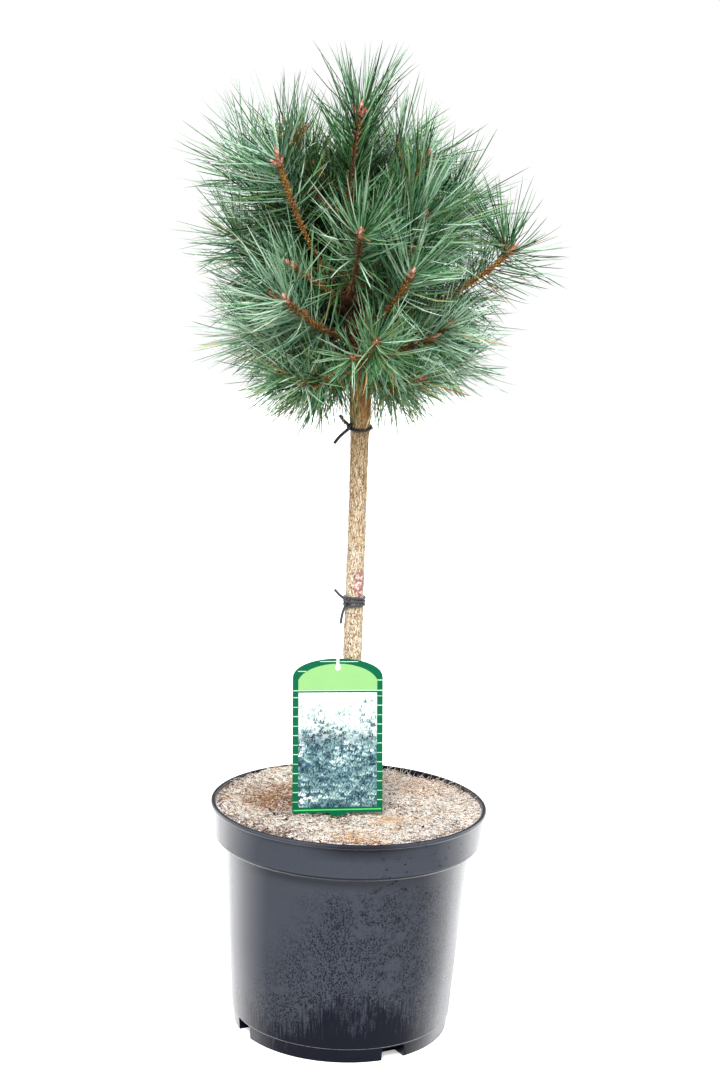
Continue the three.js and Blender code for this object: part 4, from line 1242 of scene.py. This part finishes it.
# --- plant label
LABEL = {
    "width": 80, "height": 136, "thickness": 0.8, "shoulder": 17, "at": (-9.6, -34.5, 204.5), "yaw": 6.7, "back": 9.2,
    "left": 1.2, "slot": 2.3, "hole": 2.5, "hole_below": 7.9, "stake": (13, 52, 14), "border": 5.2, "picture": (5, 106),
}
HALF_W, HALF_T, CARD_H = LABEL["width"] / 2, LABEL["thickness"] / 2, LABEL["height"]
PRINT, INK = HALF_T + 0.06, 0.05
label_place = (
    Matrix.Translation(Vector(LABEL["at"])) @ Matrix.Rotation(math.radians(LABEL["yaw"]), 4, "Z")
    @ Matrix.Rotation(math.radians(90 - LABEL["back"]), 4, "X") @ Matrix.Rotation(math.radians(LABEL["left"]), 4, "Z")
)


def on_card(p, level):
    return label_place @ Vector((p[0], p[1], level))


def prism(corners, low, high):
    """A small four-sided block on the card, for Heap.add."""
    quads = [(0, 1, 5, 4), (1, 2, 6, 5), (2, 3, 7, 6), (3, 0, 4, 7), (4, 5, 6, 7), (3, 2, 1, 0)]
    return np.array([list(on_card(c, level)) for level in (low, high) for c in corners]), quads


def rectangle(x0, x1, y0, y1):
    return [(x0, y0), (x1, y0), (x1, y1), (x0, y1)]


def cubic(*points):
    t = np.linspace(0, 1, 14)[:, None]
    a, b, c, d = (np.array(p, float) for p in points)
    return list((1 - t) ** 3 * a + 3 * t * (1 - t) ** 2 * b + 3 * t * t * (1 - t) * c + t ** 3 * d)


def plate(name, outline, low, high, material):
    """A thin plate on the card: its outline in the card's plane, and its two levels."""
    mesh, bm = bpy.data.meshes.new(name), bmesh.new()
    bottom, top = ([bm.verts.new(on_card(p, level) * MM) for p in outline] for level in (low, high))
    for i in range(len(outline)):
        j = (i + 1) % len(outline)
        bm.faces.new((bottom[i], bottom[j], top[j], top[i]))
    bm.faces.new(top)
    bm.faces.new(bottom[::-1])
    bmesh.ops.recalc_face_normals(bm, faces=bm.faces)
    bmesh.ops.triangulate(bm, faces=[f for f in bm.faces if len(f.verts) > 4])
    bm.to_mesh(mesh)
    bm.free()
    mesh.materials.append(material)
    return place(name, mesh, "label_card")


def notch(radius, count):
    """The outline of the hanging hole, open to the slot above it."""
    opening = math.asin(LABEL["slot"] / 2 / radius)
    middle = CARD_H - LABEL["hole_below"]
    angles = np.linspace(math.pi / 2 - opening, opening - 1.5 * math.pi, count)
    return [(radius * math.cos(a), middle + radius * math.sin(a)) for a in angles]


def card_outline():
    w, h, low, s = HALF_W, CARD_H, CARD_H - LABEL["shoulder"], LABEL["slot"] / 2
    turn = h - LABEL["shoulder"] / 3
    stake_w, stake_l, point = LABEL["stake"]
    side, neck = stake_w / 2, point - stake_l
    foot = [(-w, 0), (-side, 0), (-side, neck), (0, -stake_l), (side, neck), (side, 0), (w, 0)]
    right = cubic((w, low), (w, turn), (w / 2, h), (s, h))
    return foot + right + notch(LABEL["hole"], 26) + cubic((-s, h), (-w / 2, h), (-w, turn), (-w, low))


def arch_outline(low):
    """The light panel under the card's round top, with the hanging hole cut into its flat arch."""
    w, s = HALF_W - LABEL["border"] + 0.2, LABEL["slot"] / 2 + 0.1
    arch = [(x, CARD_H - 23.5 + 18.9 * math.sqrt(max(0.0, 1 - (x / 36.2) ** 2))) for x in np.linspace(w, s, 16)]
    return [(-w, low), (w, low)] + arch + notch(LABEL["hole"] + 0.08, 22) + [(-x, y) for x, y in arch[::-1]]


def picture_material():
    m = surface("picture_ground", (150, 180, 188), 0.3, IOR=1.3)
    # Height up the card, from 0 at its foot.
    up = m.mask(m.xyz()[2], 0.208, 0.31)
    tone = m.noise(260, 5)
    low = m.ramp(tone, (0.36, 34, 54, 76), (0.5, 76, 108, 122), (0.64, 142, 176, 180))
    m.set(Base_Color=m.mix(m.mask(up, 0.54, 0.76), low, m.ramp(tone, (0.36, 214, 232, 222), (0.5, 250, 252, 252))))
    return m.owner


def line_pieces(high):
    """The marks printed along the card's border, and the frame and three ruled lines on its back."""
    w, border = HALF_W, LABEL["border"]
    pale = card_material("card_pale", (190, 232, 200))
    # Left and right end, height and thickness of each mark.
    marks = []
    for k, y in enumerate(np.arange(9.5, 104, 8.35)):
        marks.append((-w + 0.1, -w + border - 0.3, y, 0.75 if k % 2 else 0.5))
        marks.append((w - border + 0.3, w - 0.1, y + 1.2, 0.5 if k % 2 else 0.75))
    marks += [
        (-w + 0.1, w - 0.1, high + 1.4, 0.75), (-w + 4.6, -w + 12, CARD_H - 11.6, 0.75),
        (w - border + 0.3, w - 0.1, CARD_H - 19.5, 0.75), (-16, -1.7, CARD_H - 2.9, 0.6), (1.7, 18, CARD_H - 3.1, 0.6),
    ]
    lines, back = Heap(), Heap()
    for x0, x1, y, thick in marks:
        lines.add(*prism(rectangle(x0, x1, y, y + thick), HALF_T, HALF_T + INK))
    lines.piece("label_lines", [pale], "label_card", smooth=False)
    ruled = [rectangle(x, x + 0.5, 5.5, high + 0.5) for x in (-w + 4.4, w - 4.9)]
    for y, inset in ((5, 4.4), (high, 4.4), (30, 9), (42, 9), (54, 9)):
        ruled.append(rectangle(-w + inset, w - inset, y, y + 0.5))
    for corners in ruled:
        back.add(*prism(corners, -HALF_T - INK, -HALF_T))
    back.piece("label_back_lines", [pale], "label_card", smooth=False)


INKS = [(20, 40, 52), (42, 74, 84), (86, 122, 124), (138, 172, 170), (192, 216, 212), (240, 248, 246), (150, 196, 160)]
LEAF_GREEN = 6


def tufts_piece(low, high, rows=30, columns=17, blades=6):
    """A made-up picture: small tufts of leaves, closer and darker towards the foot, with pale drifts among them."""
    rng = np.random.default_rng(77)
    tufts = Heap()
    edge = HALF_W - LABEL["border"]
    for row in range(rows):
        y = lerp(96, low + 0.4, (row / (rows - 1)) ** 0.9)
        sparse = np.clip((y - 66) / 26, 0, 1)
        for column in range(columns):
            x = -edge + 1.2 + (column + rng.random()) * 4.2
            if x > edge - 1.0 or rng.random() < 0.3 * sparse:
                continue
            here = float(value_noise(np.array(x / 8 + 30), np.array(y / 7 + 5), 64, 78))
            drift = float(value_noise(np.array(x / 15 + 9), np.array(y / 13 + 2), 64, 79))
            tone = 0.5 + 3.2 * here + 5.0 * max(0.0, drift - 0.52) + 2.6 * sparse + rng.normal(0, 0.55)
            tone = LEAF_GREEN if sparse > 0.6 and rng.random() < 0.16 else int(np.clip(tone, 0, 5))
            size = rng.uniform(2.8, 5.6)
            foot = np.array([x, y + rng.uniform(-1.7, 1.7)])
            turn = rng.uniform(-16, 16)
            for blade in range(blades):
                a = math.radians(90 + turn + (blade - 2.5) * 26 + rng.uniform(-11, 11))
                reach = size * (1 - 0.12 * abs(blade - 2.5)) * rng.uniform(0.75, 1.1)
                way, side = np.array([math.cos(a), math.sin(a)]), np.array([-math.sin(a), math.cos(a)])
                widest = foot + way * reach * 0.6
                outline = [foot, widest - side * 0.5, foot + way * reach, widest + side * 0.5]
                outline = np.clip(outline, (-edge, low), (edge, high))
                ink = tone if tone == LEAF_GREEN else max(0, min(5, tone + (blade % 3 == 1) - (blade % 4 == 2)))
                lift = HALF_T + 0.08 + 0.008 * row + 0.0012 * blade
                tufts.add(*prism(outline, HALF_T + 0.05, lift), material=ink)
    inks = [card_material("ink_%d" % (i + 1), rgb, 0.34) for i, rgb in enumerate(INKS)]
    tufts.piece("label_tufts", inks, "label_card", smooth=False)


def label_pieces():
    w, (low, high) = HALF_W, LABEL["picture"]
    edge = w - LABEL["border"]
    card = plate("label_card", card_outline(), -HALF_T, HALF_T, card_material("card_green", (0, 94, 61), 0.36))
    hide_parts("plant_label")
    light = card_material("card_light_green", (143, 195, 124))
    bright = card_material("card_bright_green", (96, 210, 112))
    plate("label_arch", arch_outline(high + 2.2), HALF_T, PRINT, light)
    plate("label_picture", rectangle(-edge, edge, low, high), HALF_T, PRINT, picture_material())
    plate("label_foot_line", [(-w + 1, 1.9), (w - 1, 2.5), (w - 1, 3.5), (-w + 1, 2.9)], HALF_T, PRINT, bright)
    line_pieces(high)
    tufts_piece(low, high)


label_pieces()

# --- floor and light
FILL = 0.17
FLOOR_SHEDS = 0.44
DARK_FRONT = 0.12
WHITE = (1, 1, 1, 1)
# The way each soft light shines, its strength and how wide it is in degrees.
SUNS = [
    ("key", (0.2, 0.8, -1.0), 4.5, 28), ("side", (-0.9, 0.5, -0.8), 1.2, 40),
    ("rim_right", (-0.9, -0.55, -0.45), 1.1, 36), ("rim_left", (0.9, -0.6, -0.5), 0.7, 36),
    ("top", (0.05, 0.15, -1.0), 0.55, 60),
]


def floor():
    m = surface("floor", (0.95, 0.95, 0.95, 1), 0.7, Specular_IOR_Level=0.2, Emission_Color=WHITE)
    pale = m.mix(m.noise(3, 2), (0.93, 0.93, 0.932, 1), (0.955, 0.955, 0.956, 1))
    shed = m.mix(m.node("LightPath", "Is Diffuse Ray"), pale, (FLOOR_SHEDS, FLOOR_SHEDS, FLOOR_SHEDS, 1))
    m.set(Base_Color=shed, Emission_Strength=m.scale(m.node("LightPath", "Is Camera Ray"), 0.04, 0.42))
    mesh = bpy.data.meshes.new("floor")
    mesh.from_pydata([(-8, -8, 0), (8, -8, 0), (8, 8, 0), (-8, 8, 0)], [], [(0, 1, 2, 3)])
    mesh.materials.append(m.owner)
    place("floor", mesh)


def stage():
    scene = bpy.context.scene
    scene.view_settings.view_transform = "Standard"
    floor()
    scene.world = bpy.data.worlds.new("world")
    w = Nodes(scene.world, "Background")
    # The backdrop is white, the light that it sheds is softer, and what reflects from the viewer's side is dim.
    inputs = {"Value": w.xyz("Generated")[1], "From Min": -0.9, "From Max": 0.25, "To Min": DARK_FRONT, "To Max": 1.0}
    gloss = w.scale(w.node("LightPath", "Is Glossy Ray"), 1.0, w.node("MapRange", "Result", inputs))
    w.set(Color=WHITE, Strength=w.scale(w.node("LightPath", "Is Diffuse Ray"), 1.0, FILL) * gloss)
    for name, way, strength, angle in SUNS:
        data = bpy.data.lights.new(name, "SUN")
        data.energy, data.angle = strength, math.radians(angle)
        light = place(name, data)
        light.rotation_mode = "QUATERNION"
        light.rotation_quaternion = Vector(way).to_track_quat("-Z", "Y")


stage()
